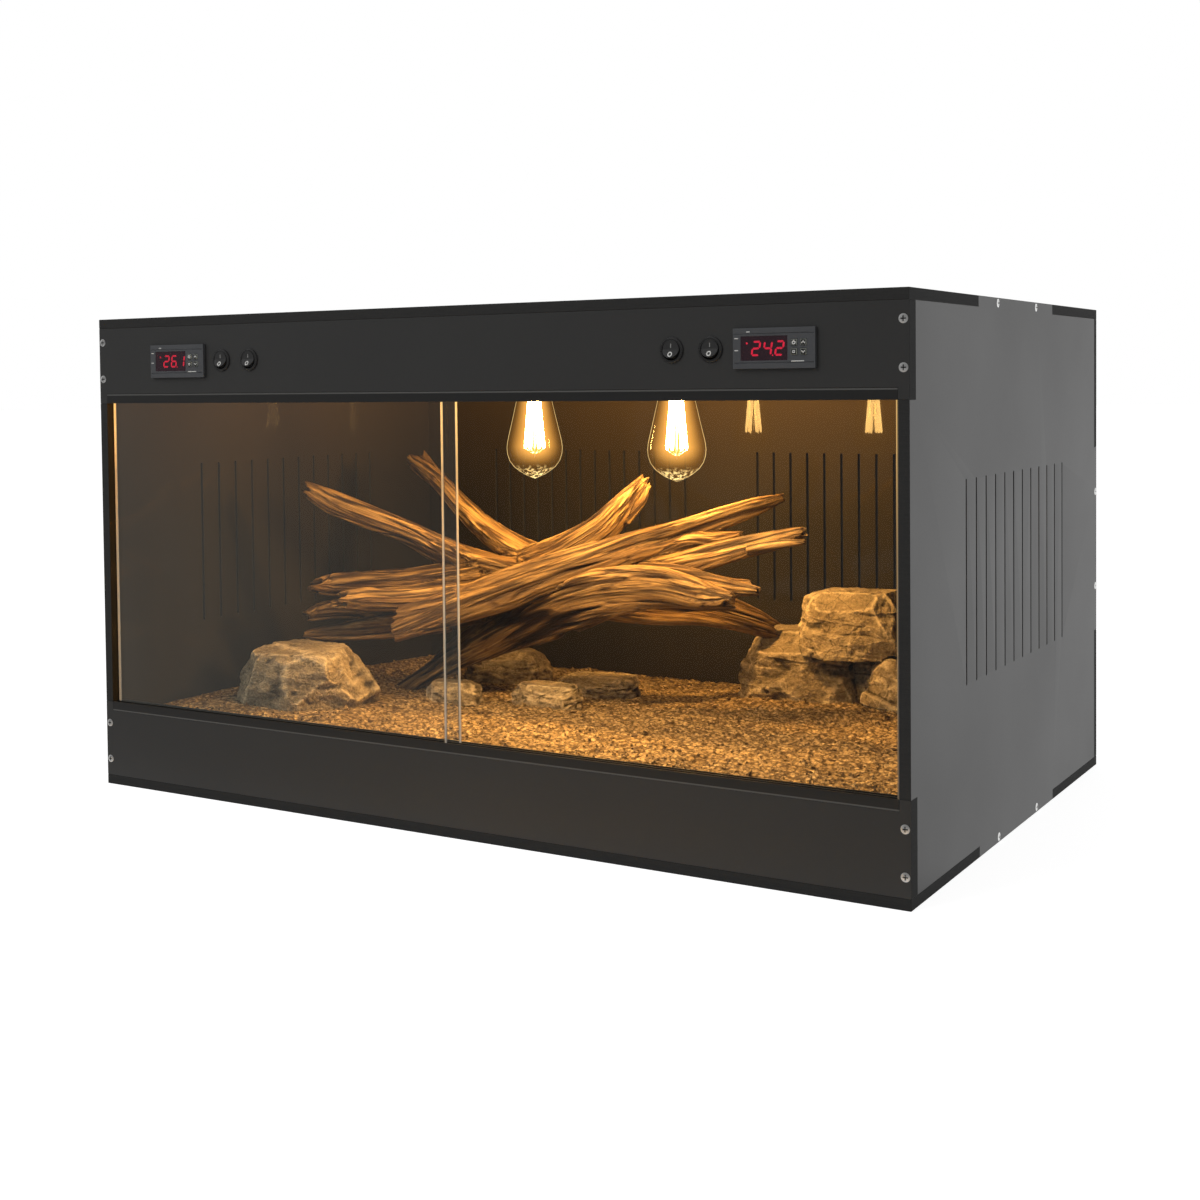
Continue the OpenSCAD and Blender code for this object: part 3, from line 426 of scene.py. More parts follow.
def track_finish():
    """Fine drawn lines, and a paler line near the edge of each track that meets the fascia: a painted
    highlight.
    """
    track = Finish("extruded track", (0.012, 0.012, 0.0115), 0.4)
    lines, z = track.noise(1.0, stretch=(3, 900, 900)), track.axes(track.at())[2]
    low, high = corners("lower_glass_track")[0][2], corners("upper_glass_track")[1][2]
    # painted highlight: a pale line 1 mm inside the edge of each track
    fascia_edge_highlight = (abs(z - (low + MM)) < 0.7 * MM) + (abs(z - (high - MM)) < 0.7 * MM)
    colour = track.mix(lines, (0.008, 0.008, 0.0078), (0.015, 0.015, 0.0145))
    track.put(Base_Color=track.mix(fascia_edge_highlight * (0.5 + lines * 0.5), colour, (0.11, 0.11, 0.105)),
              Roughness=0.3 + lines * 0.2)
    track.bump(lines, 0.15, 0.0002)
    return track


skin, inside, sawn, track = skin_finish(), inside_finish(), sawn_finish(), track_finish()


def sort_board(node):
    """Faces along a board's thin direction are skin, polished where they bound the room
    inside. All others were sawn."""
    low, high = corners(node)
    thin = int(np.argmin(high - low))

    def sort(mesh):
        normal, centre = face_arrays(mesh)
        inner = np.all((centre > room_low - MM) & (centre < room_high + MM), axis=1)
        kind = np.where(np.abs(normal[:, thin]) < 0.5, 2, np.where(inner, 1, 0))
        share_out(mesh, (inside, sawn), kind)
    return sort


for node in paint("board", skin):
    softened(node, 0.5 * MM, skin, shortest=6 * MM, sort=sort_board(node))
for node in paint("track", track):
    softened(node, 0.3 * MM, track, shortest=6 * MM)

# %% [markdown]
# ## Glass doors
# Clear float glass is seen by its reflections, by a faint grey-green veil, and by its long polished
# edges, which carry lamplight down through the pane and glow. The veil and the glow of the edges are
# painted light. Each pane is a flat rounded bar: its faces take a thin clear finish and its edges a
# bright one.

# %% Glass panes
PANE_END = corners("right_glass_door")[1][0]


def clear_glass(name, shine, dust_and_glow):
    """Clear, with a thin reflection on the faces that light enters by and a dusty veil that fades towards
    the right, painted as a pale glow that also stands in for a hazy reflection. The far faces add none,
    as the two reflections of a thin pane lie together. The ground arris at the right-hand end carries a
    line of lamplight."""
    glass = Finish(name, (0.8, 0.85, 0.83), 0.03)
    clear = glass.node("BsdfTransparent", {"Color": (0.965, 0.975, 0.97, 1)})
    gloss = glass.node("BsdfGlossy", {"Color": (1, 1, 1, 1), "Roughness": 0.02})
    x, _, z = glass.axes(glass.at())
    lit = glass.ramp((z - 0.08) * 2.9, (0.0, (0.20, 0.15, 0.10)), (0.6, (0.42, 0.28, 0.14)),
                     (1.0, (1.0, 0.62, 0.22)))
    glow = glass.node("Emission", {"Color": lit, "Strength": 0.9})
    # painted light: the dusty veil is a pale glow that stands in for a hazy reflection
    veil = glass.node("Emission", {"Color": (0.93, 0.96, 0.90, 1), "Strength": 1.0})
    front = ((1 - glass.node("NewGeometry", out="Backfacing"))
             * (0.8 + glass.noise(7.0, 2.0, stretch=(1, 1, 0.4)) * 0.4))
    clear = glass.layer(front * dust_and_glow * (0.35 + ((0.08 - x) * 1.6).clamp()), clear, veil)
    clear = glass.layer(glass.node("Fresnel", {"IOR": 1.5}) * front * shine, clear, gloss)
    arris = (abs(x) > PANE_END - 1.6 * MM) * (x > 0)
    glass.show(glass.layer(arris * 0.8, clear, glow))
    return glass


def glass_edge(name, low, high, strength):
    """The ground edge of a pane: a line of lamplight, golden at the top and grey below,
    between two dark arrises."""
    edge = Finish(name, (0.10, 0.105, 0.10), 0.2)
    _, y, z = edge.axes(edge.at())
    off = abs(y - (low[1] + high[1]) / 2) / (high[1] - low[1])
    line = ((0.46 - off) * 20.0).clamp()
    up = (z - low[2]) / (high[2] - low[2])
    glow = edge.ramp(up + edge.noise(90.0, 2.0) * 0.08, (0.05, (0.20, 0.19, 0.175)),
                     (0.55, (0.30, 0.27, 0.22)), (0.8, (0.5, 0.34, 0.17)), (1.0, (1.0, 0.66, 0.26)))
    edge.put(Base_Color=edge.mix(line, (0.05, 0.055, 0.05), glow), Emission_Strength=strength,
             Emission_Color=edge.mix(line, (0.01, 0.01, 0.008), glow))
    return edge


for node, shine, dust_and_glow in (("left_glass_door", 0.22, 0.031), ("right_glass_door", 0.12, 0.010)):
    pane = NODES[node]
    dress(pane, clear_glass(node + " face", shine, dust_and_glow))
    edges = [glass_edge(f"{node} {place} edge", *corners(node), strength)
             for place, strength in (("inner", 0.75), ("outer", 0.28))]
    normal, centre = face_arrays(pane.data)
    sideways = np.abs(normal[:, 0]) > 0.5
    share_out(pane.data, edges, sideways * (1 + (np.abs(centre[:, 0]) > 0.2)))
    print(node, "edge faces", int(sideways.sum()))

# %% [markdown]
# ## Metal and moulded plastic
# Screws are zinc plated: bright, slightly blue, with fine turning marks. Bezels and buttons are
# moulded with a fine spark texture. The display is a smoked window over lit bars.

# %% Small fittings
def stained_finish(name, colour, dark, light, scale, detail, rough_from, rough_by, **fixed):
    """One noise that stains the colour and follows in the roughness."""
    stained = Finish(name, colour, 0.3, **fixed)
    stain = stained.noise(scale, detail)
    stained.put(Base_Color=stained.mix(stain, dark, light), Roughness=rough_from + stain * rough_by)
    return stained


def moulded_finish(name, dark, light, roughness, grain_size=1400.0, strength=0.2):
    """Moulded plastic: a spark texture, cloudy colour and a roughness that follows both."""
    plastic = Finish(name, light, roughness)
    grain, cloud = plastic.noise(grain_size, 2.0), plastic.noise(60.0)
    plastic.put(Base_Color=plastic.mix(cloud * 0.7 + grain * 0.3, dark, light),
                Roughness=roughness - 0.06 + grain * 0.12)
    plastic.bump(grain, strength, 0.0001)
    return plastic


# Record slot, name, dark and light colour, roughness, and rounding of the edges in millimetres
FITTINGS = [
    ("case_black", "case black", (0.012, 0.012, 0.013), (0.024, 0.024, 0.025), 0.5, 0),
    ("clip_orange", "clip orange", (0.5, 0.14, 0.03), (0.62, 0.2, 0.05), 0.4, 0),
    ("holder_black", "lamp holder black", (0.012, 0.0115, 0.011), (0.024, 0.023, 0.021), 0.45, 0),
    ("cover_black", "cover sheet", (0.017, 0.017, 0.017), (0.028, 0.028, 0.028), 0.5, 0),
    ("lead_black", "lead sheath", (0.01, 0.01, 0.01), (0.019, 0.019, 0.019), 0.55, 0),
    ("bezel_grey", "bezel grey", (0.052, 0.055, 0.06), (0.085, 0.088, 0.094), 0.45, 0.35),
    ("button_grey", "button grey", (0.30, 0.315, 0.275), (0.40, 0.415, 0.37), 0.42, 0.3),
    ("switch_black", "switch black", (0.012, 0.012, 0.012), (0.02, 0.02, 0.02), 0.28, 0),
    ("rocker_black", "rocker black", (0.018, 0.018, 0.018), (0.032, 0.032, 0.032), 0.34, 0.4)]

zinc = stained_finish("zinc plate", (0.72, 0.72, 0.71), (0.6, 0.6, 0.59), (0.83, 0.83, 0.82),
                      900.0, 3.0, 0.22, 0.2, Metallic=1.0)
# dirt and painted shade for the recesses of the screws' cross slots
dirt_and_shade = moulded_finish("dirt and painted shade in the cross slots", (0.010, 0.009, 0.008), (0.03, 0.027, 0.024), 0.8)


def darken_slots(node, axis, plane):
    """Gives the faces in a screw's cross slot the dark slot finish, which is dirt and painted shade in
    the recess: those a little inside the board's face and close to the middle line of one of the node's
    screws."""
    shells = [solid.reshape(-1, 3) for solid in loose_solids(node)]
    screws = np.array([(shell.min(0) + shell.max(0)) / 2 for shell in shells])
    _, centre = face_arrays(NODES[node].data)
    gap = centre[:, None] - screws[None]
    gap[..., axis] = 0
    near = np.linalg.norm(gap, axis=2).min(1) < 1.9 * MM
    inward = plane - np.abs(centre[:, axis])
    deep = near & (inward > 0.05 * MM) & (inward < 1.4 * MM)
    share_out(NODES[node].data, [dirt_and_shade], deep)
    print(node, len(screws), "screws,", int(deep.sum()), "slot faces")


paint("screw_steel", zinc)
for row in ("upper_fascia", "lower_fascia"):
    darken_slots(row + "_screws", 1, -corners("upper_fascia")[0][1])
for side in ("left", "right"):
    darken_slots(side + "_side_screws", 0, cabinet_high[0])
for slot, name, dark, light, roughness, edge in FITTINGS:
    plastic = moulded_finish(name, dark, light, roughness)
    for node in paint(slot, plastic):
        if edge:
            softened(node, edge * MM, plastic, body_of(node), 3 if slot == "rocker_black" else 2)

# %% Displays
def window_finish():
    smoked = Finish("smoked window", (0.055, 0.028, 0.038), 0.08)
    clear = smoked.node("BsdfTransparent", {"Color": (0.55, 0.38, 0.45, 1)})
    smoked.put(Roughness=0.06 + smoked.noise(140.0, 2.0) * 0.05)
    smoked.show(smoked.layer(0.6, clear, Ink(smoked, smoked.shader.outputs[0])))
    return smoked


def lit_finish(name, colour, strength, ripple=0.25):
    """A lit part: its glow varies a little along its length."""
    lit = Finish(name, colour, 0.4, Emission_Strength=strength)
    dimmer = [c * (1 - ripple) for c in colour]
    lit.put(Emission_Color=lit.mix(lit.noise(300.0, 2.0), dimmer, colour))
    return lit


paint("display_window", window_finish())
paint("display_red", lit_finish("lit red bars", (1.0, 0.02, 0.07), 3.6))

# %% [markdown]
# ## Marks
# The switches carry a bar and a ring, the buttons a symbol each, and the bezels a few plain
# bars where a maker would print words. Each mark is a thin raised stroke. Its centre line is
# flat, and rays straight back from it find the face that it lies on.

# %% Printed marks
def arc(x, z, radius, start, end, steps=24):
    """Points on a circle from one angle to another, in turns from the top, clockwise."""
    turn = np.linspace(start, end, steps) * TAU
    return np.stack([x + radius * np.sin(turn), z + radius * np.cos(turn)], 1)


def stroke(tree, line, width, rise, root=0.04):
    """A ribbon of four-sided rings along a line of (x, z) points in millimetres: half the width
    to each side, the front rise above the face that a ray meets and the back a root in it."""
    line = np.array(line, float)
    closed = np.allclose(line[0], line[-1])
    ahead = np.gradient(line, axis=0)
    if closed:
        ahead[0] = ahead[-1] = line[1] - line[-2]
    ahead /= np.linalg.norm(ahead, axis=1, keepdims=True)
    across = np.stack([ahead[:, 1], -ahead[:, 0]], 1) * width / 2
    rings = []
    for sides in zip(line + across, line - across):
        left, right = ((x * MM, tree.ray_cast((x * MM, -1, z * MM), (0, 1, 0))[0].y, z * MM)
                       for x, z in sides)
        rings.append([(x, y - lift * MM, z) for (x, y, z), lift in
                      ((left, rise), (right, rise), (right, -root), (left, -root))])
    points = np.array(rings[:-1] if closed else rings)
    faces = grid_faces(len(points), 4, wrap_rows=closed, wrap_columns=True).tolist()
    if not closed:
        last = 4 * len(points) - 4
        faces += [[0, 1, 2, 3], [last + 3, last + 2, last + 1, last]]
    return points, faces


def print_mark(name, node, slot, lines, finish, rise=0.1):
    """One piece from several (line, width) strokes on a node's front face."""
    mesh = NODES[node].data
    tree = BVHTree.FromPolygons([v.co[:] for v in mesh.vertices], [p.vertices[:] for p in mesh.polygons])
    put_mesh(name, *merged([stroke(tree, line, width, rise) for line, width in lines]), finish,
             body_of(node), smooth=False, slot=slot)


white_print, grey_print, black_print = (
    moulded_finish(name, dark, light, 0.5, 900.0, 0.05) for name, dark, light in (
        ("white print", (0.55, 0.55, 0.53), (0.72, 0.72, 0.69)),
        ("thin grey print", (0.24, 0.24, 0.235), (0.33, 0.33, 0.32)),
        ("black print", (0.010, 0.010, 0.010), (0.018, 0.018, 0.018))))
# Bars on a bezel: middle from its left edge, distance from its top, and length, in millimetres
BARS = [(14.2, 3.2, 3.2), (3.3, 8.6, 3.4), (3.3, 18.8, 3.4), (59.3, 28.4, 11.5)]


def middle(node):
    x, _, z = corners(node).mean(0) / MM
    return x, z


for side in ("left", "right"):
    for node in (side + "_outer_rocker", side + "_inner_rocker"):
        x, z = middle(node)
        print_mark(node + "_bar", node, "rocker_black",
                   [([(x, z + 1.9), (x, z + 5.6)], 0.75)], grey_print)
        print_mark(node + "_ring", node, "rocker_black",
                   [(arc(x, z - 3.7, 1.75, 0, 1), 0.95)], white_print)
    for key in ("power", "set", "up", "down"):
        node = side + "_" + key + "_button"
        x, z = middle(node)
        tip = -0.8 if key == "down" else 0.8
        symbol = [[(x - 1.5, z - tip), (x, z + tip), (x + 1.5, z - tip)]]
        if key == "power":
            symbol = [arc(x, z - 0.1, 1.25, 0.1, 0.9), [(x, z + 0.3), (x, z + 1.9)]]
        elif key == "set":
            symbol = [arc(x, z, 1.2, 0.125, 1.125, 5)]
        print_mark(node + "_ground", node, "button_grey",
                   [([(x - 2.25, z), (x + 2.25, z)], 4.5)], black_print, 0.05)
        print_mark(node + "_mark", node, "button_grey", [(line, 0.95) for line in symbol], white_print)
    low, high = corners(side + "_controller_bezel") / MM
    print_mark(side + "_bezel_bars", side + "_controller_bezel", "bezel_grey",
               [([(low[0] + x - long / 2, high[2] - down), (low[0] + x + long / 2, high[2] - down)], 0.8)
                for x, down, long in BARS], white_print)
print("marks on 4 rockers, 8 buttons and 2 bezels")

# %% [markdown]
# ## Lamps
# The bulb is blown amber glass with a drawn-out tip. Its outline is turned about the bulb's
# own axis. Inside, a clear stem carries two discs of wire, and six lit strands lean outwards
# between them. The strands are what the polished boards mirror.

# %% Lamps
# Height above the tip and radius, in millimetres
BULB_OUTLINE = [(0, 0), (1, 2.6), (2.5, 6.2), (5, 11.6), (8.5, 17.2), (13.5, 23.6), (20.5, 28.6),
                (28, 31), (35, 31.6), (42, 30.8), (50, 29), (60, 26.6), (70, 24.2), (86, 20.6),
                (97, 18), (106, 15), (113, 12.5)]


def circle(around):
    return np.linspace(0, TAU, around, endpoint=False)[None, :]


def turned(outline, centre, foot, around=56):
    """(r cos a, r sin a, h) about an upright axis, for each height and radius of an outline."""
    height, radius = np.array(outline, float).T[:, :, None] * MM
    turn = circle(around)
    points = np.stack([centre[0] + radius * np.cos(turn), centre[1] + radius * np.sin(turn),
                       foot + height + 0 * turn], -1)
    faces = grid_faces(len(points), around, wrap_columns=True).tolist()
    return points, faces + [[(len(points) - 1) * around + i for i in range(around)]]


def rod(start, end, radius, around=10):
    """A round rod between two points, tapered a little at its ends."""
    along = (end - start) / np.linalg.norm(end - start)
    side = np.cross(along, (0.3, 0.9, 0.1))
    side /= np.linalg.norm(side)
    up = np.cross(along, side)
    share = np.array([0, 0.02, 0.06, 0.94, 0.98, 1.0])[:, None]
    wide = radius * np.array([0.3, 0.8, 1, 1, 0.8, 0.3])[:, None]
    turn = circle(around)
    ring = np.cos(turn)[..., None] * side + np.sin(turn)[..., None] * up
    points = start + share[..., None] * (end - start) + wide[..., None] * ring
    faces = grid_faces(len(points), around, wrap_columns=True).tolist()
    last = (len(points) - 1) * around
    return points, faces + [list(range(around))[::-1], list(range(last, last + around))]


def bulb_finish(tip):
    """Clear amber glass with painted light: a glowing halo round the strands where it faces the eye, a
    thin golden painted highlight along the outline, and bright painted glints in the thick glass at the
    tip."""
    amber = Finish("amber bulb glass", (1.0, 0.72, 0.38), 0.03)
    clear = amber.node("BsdfTransparent", {"Color": (1.0, 0.93, 0.80, 1)})
    glow, bright = (amber.node("Emission", {"Color": colour, "Strength": 2.4})
                    for colour in ((1.0, 0.46, 0.09, 1), (1.0, 0.72, 0.30, 1)))
    facing = amber.node("LayerWeight", {"Blend": 0.5}, out="Facing")
    up = amber.axes(amber.at())[2] - tip
    film = amber.noise(40.0, 2.0)
    beside = ((up - 0.012) * 40.0).clamp()
    halo = (1 - facing) ** 4.5 * beside * (0.34 + film * 0.16) + 0.016
    body = amber.layer(halo.clamp(), clear, glow)
    # painted highlight along the outline, and painted glints near the tip
    outline_highlight = ((facing - 0.78) * 6.0).clamp() * (0.25 + film * 0.5)
    tip_glints = ((amber.noise(260.0, 2.0, stretch=(1, 1, 0.5)) - 0.54) * 12.0).clamp()
    tip_glints = tip_glints * ((0.015 - up) * 90.0).clamp()
    body = amber.layer((outline_highlight + tip_glints * 0.8).clamp(), body, bright)
    gloss = amber.node("BsdfGlossy", {"Color": (1, 0.95, 0.85, 1), "Roughness": 0.03})
    front = 1 - amber.node("NewGeometry", out="Backfacing")
    amber.show(amber.layer(amber.node("Fresnel", {"IOR": 1.45}) * front * 0.45, body, gloss))
    return amber


def add_light(name, kind, power, place, turn=(0, 0, 0), colour=(1, 1, 1), **shape):
    """A lamp that nothing mirrors."""
    lamp = bpy.data.objects.new(name, bpy.data.lights.new(name, kind))
    lamp.data.energy, lamp.data.color = power, colour
    for key, value in shape.items():
        setattr(lamp.data, key, value)
    lamp.location, lamp.rotation_euler = place, turn
    lamp.visible_glossy = False
    bpy.context.collection.objects.link(lamp)
    return lamp


bulb_glass = bulb_finish(corners("left_bulb_glass")[0][2])
lit_strand = lit_finish("lit filament", (1.0, 0.62, 0.22), 150.0)
paint("bulb_glass", bulb_glass)
paint("cap_brass", stained_finish("pressed brass", (0.62, 0.42, 0.18), (0.4, 0.25, 0.1),
                                  (0.72, 0.5, 0.24), 220.0, 4.0, 0.2, 0.25, Metallic=1.0))
paint("filament", lit_strand)
STRANDS, STRAND_TOP, STRAND_FOOT, STEM_TOP = 6, 0.094, 0.034, 0.113
LAMPLIGHT = (1.0, 0.60, 0.22)

for side, power in (("left", 3.3), ("right", 11.2)):
    low, high = corners(side + "_bulb_glass")
    centre, tip = (low + high) / 2, low[2]
    put_mesh(side + "_bulb", *turned(BULB_OUTLINE, centre, tip), bulb_glass,
             replaces=side + "_bulb_glass", slot="bulb_glass")

    def at(radius, turn, height):
        """A point beside the bulb's axis: radius in millimetres, height above the tip."""
        return centre * (1, 1, 0) + (radius * MM * math.cos(turn), radius * MM * math.sin(turn),
                                     tip + height)

    strands, wires = [], []
    for i in range(STRANDS):
        turn = TAU * (i + 0.25) / STRANDS
        top, foot = at(5.5, turn, STRAND_TOP), at(10.5, turn + 0.25, STRAND_FOOT)
        strands.append(rod(top, foot, 1.7 * MM))
        wires.append(rod(top, at(2, turn, STRAND_TOP + 4 * MM), 0.35 * MM, 6))
        wires.append(rod(foot, at(1.5, turn, STRAND_FOOT - 6 * MM), 0.35 * MM, 6))
    wires.append(rod(at(0, 0, STRAND_FOOT - 10 * MM), at(0, 0, STRAND_TOP + 2 * MM), 0.8 * MM, 8))
    wires.append(rod(at(0, 0, STRAND_TOP), at(0, 0, STEM_TOP), 3.4 * MM, 24))
    for name, rods, finish in (("_strands", strands, lit_strand), ("_stem", wires, zinc)):
        piece = put_mesh(side + name, *merged(rods), finish, replaces=side + "_bulb_filament")
        piece.visible_diffuse = piece.visible_shadow = False
    add_light(side + "_lamp_light", "POINT", power, at(0, 0, (STRAND_TOP + STRAND_FOOT) / 2),
              colour=LAMPLIGHT, shadow_soft_size=0.016)
print("lamps with", STRANDS, "strands each")

# The lamps' light also comes back from the boards above and in front, and a little from the sand
for name, power, place, turn, width, depth in (
        ("bounced_light", 5.0, (0.08, room_low[1] + 0.05, room_high[2] - 0.10), math.radians(44),
         0.5, 0.10),
        ("sand_light", 0.16, (0.08, mid_y - 0.03, corners("sand_bed")[1][2] + 4 * MM), math.pi,
         0.60, 0.36)):
    light = add_light(name, "AREA", power, place, (turn, 0, 0), LAMPLIGHT, shape="RECTANGLE",
                      size=width, size_y=depth)
    light.visible_camera = False

# %% [markdown]
# ## Sand
# The bed is coarse dry sand. Its top is a sheet of heights: the built slope, low drifts,
# small lumps and pits, pushed up where it meets the rocks. The sides and the base close it.

# %% Sand surface
SAND_LOW, SAND_HIGH = corners("sand_bed")


def sand_top_at(x, y):
    """The bed's surface: the built slope, level at the front and then falling, with low drifts,
    hollows and crumbs, and a little bank of sand against each rock."""
    flat = np.stack([x, y, np.zeros(x.size)], 1)
    back = SAND_HIGH[2] - 0.02
    z = np.interp(y, [SAND_LOW[1], SAND_LOW[1] + 0.16, mid_y + 0.13, SAND_HIGH[1]],
                  [SAND_HIGH[2], SAND_HIGH[2], back + 0.009, back])
    edge = np.clip(np.minimum(x - SAND_LOW[0], SAND_HIGH[0] - x) / 0.02, 0, 1)
    crumb = 1 - np.abs(value_noise(flat, 0.0075, 3, 2)) * 2.2
    z += (value_noise(flat, 0.09, 1, 2) * 0.0030 + value_noise(flat, 0.024, 2, 2) * 0.0026
          + crumb * 0.0023) * (0.35 + 0.65 * edge)
    for node in ("left_boulder", "right_lower_rocks"):
        low, high = corners(node)[:, :2]
        off = np.maximum(np.maximum(low - flat[:, :2], flat[:, :2] - high), 0)
        z += 0.006 * np.exp(-(np.linalg.norm(off, axis=1) / 0.022) ** 2)
    return np.minimum(z, SAND_HIGH[2] + 0.006)


def sand_piece(finish, rows=232, columns=410):
    x, y = np.meshgrid(*(np.linspace(SAND_LOW[axis], SAND_HIGH[axis], count)
                         for axis, count in ((0, columns), (1, rows))))
    top = np.stack([x.ravel(), y.ravel(), sand_top_at(x.ravel(), y.ravel())], 1)
    index = np.arange(rows * columns).reshape(rows, columns)
    ring = np.concatenate([index[0, :-1], index[:-1, -1], index[-1, :0:-1], index[:0:-1, 0]])
    below = top[ring] * (1, 1, 0) + (0, 0, SAND_LOW[2])
    n, first = len(ring), rows * columns
    skirt = [[first + i, first + (i + 1) % n, int(ring[(i + 1) % n]), int(ring[i])] for i in range(n)]
    faces = grid_faces(rows, columns).tolist() + skirt + [[first + i for i in range(n)][::-1]]
    return put_mesh("sand_surface", np.concatenate([top, below]), faces, finish, tidy=False,
                    replaces="sand_bed", slot="sand")


def scattered(name, shape, corners_each, side, finish):
    """One loose piece of many small solids that share their faces, from the array of points."""
    faces = (np.array(side)[None] + corners_each * np.arange(len(shape))[:, None, None]).reshape(-1, 3)
    return put_mesh(name, shape, faces, finish, smooth=False, slot="sand")


def grit_piece(finish, count=3600):
    """Loose grit: eight-sided grains, each stretched by its own three half sizes and turned by
    its own random frame, half sunk in the surface. One grain in twelve is a small stone."""
    rng = np.random.default_rng(77)
    x = rng.uniform(SAND_LOW[0] + 0.006, SAND_HIGH[0] - 0.006, count)
    y = SAND_LOW[1] + 0.008 + (SAND_HIGH[1] - SAND_LOW[1] - 0.016) * rng.uniform(0, 1, count) ** 1.5
    size = rng.uniform(0.0011, 0.0023, count) * np.where(rng.uniform(0, 1, count) < 0.08, 2.0, 1.0)
    tips = np.concatenate([np.eye(3), -np.eye(3)]) * (1, 1, 0.7)
    frames = np.linalg.qr(rng.normal(0, 1, (count, 3, 3)))[0]
    shape = tips[None] * rng.uniform(0.6, 1.3, (count, 1, 3)) * size[:, None, None]
    centre = np.stack([x, y, sand_top_at(x, y) + size * 0.25], 1)
    side = [[0, 1, 2], [1, 3, 2], [3, 4, 2], [4, 0, 2], [1, 0, 5], [3, 1, 5], [4, 3, 5], [0, 4, 5]]
    return scattered("sand_grit", centre[:, None] + np.einsum("nij,nkj->nki", frames, shape), 6,
                     side, finish)


def clod_piece(finish, count=90):
    """Flat dark chips of bark and soil: an uneven ring of nine points round a high and a low
    middle, each chip with its own length, turn and tilt, lying in the surface."""
    rng = np.random.default_rng(31)
    x = rng.uniform(SAND_LOW[0] + 0.1, SAND_HIGH[0] - 0.02, count)
    y = SAND_LOW[1] + 0.012 + (SAND_HIGH[1] - SAND_LOW[1] - 0.05) * rng.uniform(0, 1, count) ** 1.8
    length = rng.uniform(0.0022, 0.0058, count)[:, None]
    turn = (np.arange(9) * TAU / 9)[None]
    ring = length * rng.uniform(0.6, 1.0, (count, 9))
    flat = np.stack([ring * np.cos(turn), ring * 0.55 * np.sin(turn),
                     rng.uniform(-0.1, 0.3, (count, 9)) * length], 2)
    tops = np.zeros((count, 1, 3)) + (0, 0, 1) * length[:, :, None] * 0.38
    shape = np.concatenate([flat, tops, -tops], 1)
    spin = rng.uniform(-0.7, 0.7, count)[:, None]
    points = np.stack([x[:, None] + shape[..., 0] * np.cos(spin) - shape[..., 1] * np.sin(spin),
                       y[:, None] + shape[..., 0] * np.sin(spin) + shape[..., 1] * np.cos(spin),
                       (sand_top_at(x, y) + 0.0005)[:, None] + shape[..., 2]], 2)
    side = [[i, (i + 1) % 9, 9] for i in range(9)] + [[(i + 1) % 9, i, 10] for i in range(9)]
    return scattered("sand_clods", points, 11, side, finish)


def clod_finish():
    clod = Finish("dark chips", (0.06, 0.035, 0.016), 0.85)
    crumb = clod.noise(700.0, 3.0, 0.7)
    clod.put(Base_Color=clod.mix(crumb, (0.028, 0.016, 0.008), (0.11, 0.066, 0.032)),
             Roughness=0.7 + crumb * 0.25)
    clod.bump(crumb, 0.6, 0.0006)
    return clod


def sand_finish():
    """Grains of their own tones, from cell to cell, lighter on the lumps, with painted shade in the gaps
    between them and in the hollows between the lumps.
    """
    sand = Finish("coarse sand", (0.34, 0.22, 0.10), 0.9)
    lump, fine, drift = sand.noise(105.0, 4.0, 0.65), sand.noise(620.0, 3.0, 0.6), sand.noise(9.0)
    colour, gap = (sand.node("TexVoronoi", {"Vector": sand.at(), "Scale": 235.0}, out=out)
                   for out in ("Color", "Distance"))
    colour = sand.ramp(sand.axes(colour)[0] * 0.55 + lump * 0.6, (0.25, (0.09, 0.054, 0.022)),
                       (0.5, (0.26, 0.172, 0.074)), (0.72, (0.40, 0.275, 0.126)),
                       (0.92, (0.56, 0.41, 0.21)))
    for share, layer in ((fine * 0.3, (0.33, 0.225, 0.10)), (drift * 0.3, (0.23, 0.145, 0.062)),
                         # painted shade: darker in the gaps between grains and in the hollows of the
                         # lumps
                         (((gap - 0.36) * 2.8).clamp() * 0.85, (0.05, 0.028, 0.011)),
                         (((0.45 - lump) * 8.0).clamp() * 0.8, (0.055, 0.032, 0.013))):
        colour = sand.mix(share, colour, layer)
    sand.put(Base_Color=colour, Roughness=0.8 + fine * 0.15)
    sand.bump(lump, 1.0, 0.009, sand.bump(gap, -1.0, 0.0032))
    return sand


sand = sand_finish()
paint("sand", sand)
bed, grit, _ = sand_piece(sand), grit_piece(sand), clod_piece(clod_finish())
print("sand", len(bed.data.polygons), "faces and", len(grit.data.polygons), "on its grit")

# %% [markdown]
# ## Driftwood
# The wood is a root: long limbs that run together into one body, with deep grooves along the
# grain and torn, splintered ends. Each limb is first a tube along a smooth path. The tubes are
# melted into one skin by a voxel Remesh. Every point of that skin then finds its place on the
# nearest limb, along it and round it, and noise stretched along the limb cuts the grooves.
# The limbs are melted in three bundles, which leaves the deep clefts between them sharp.

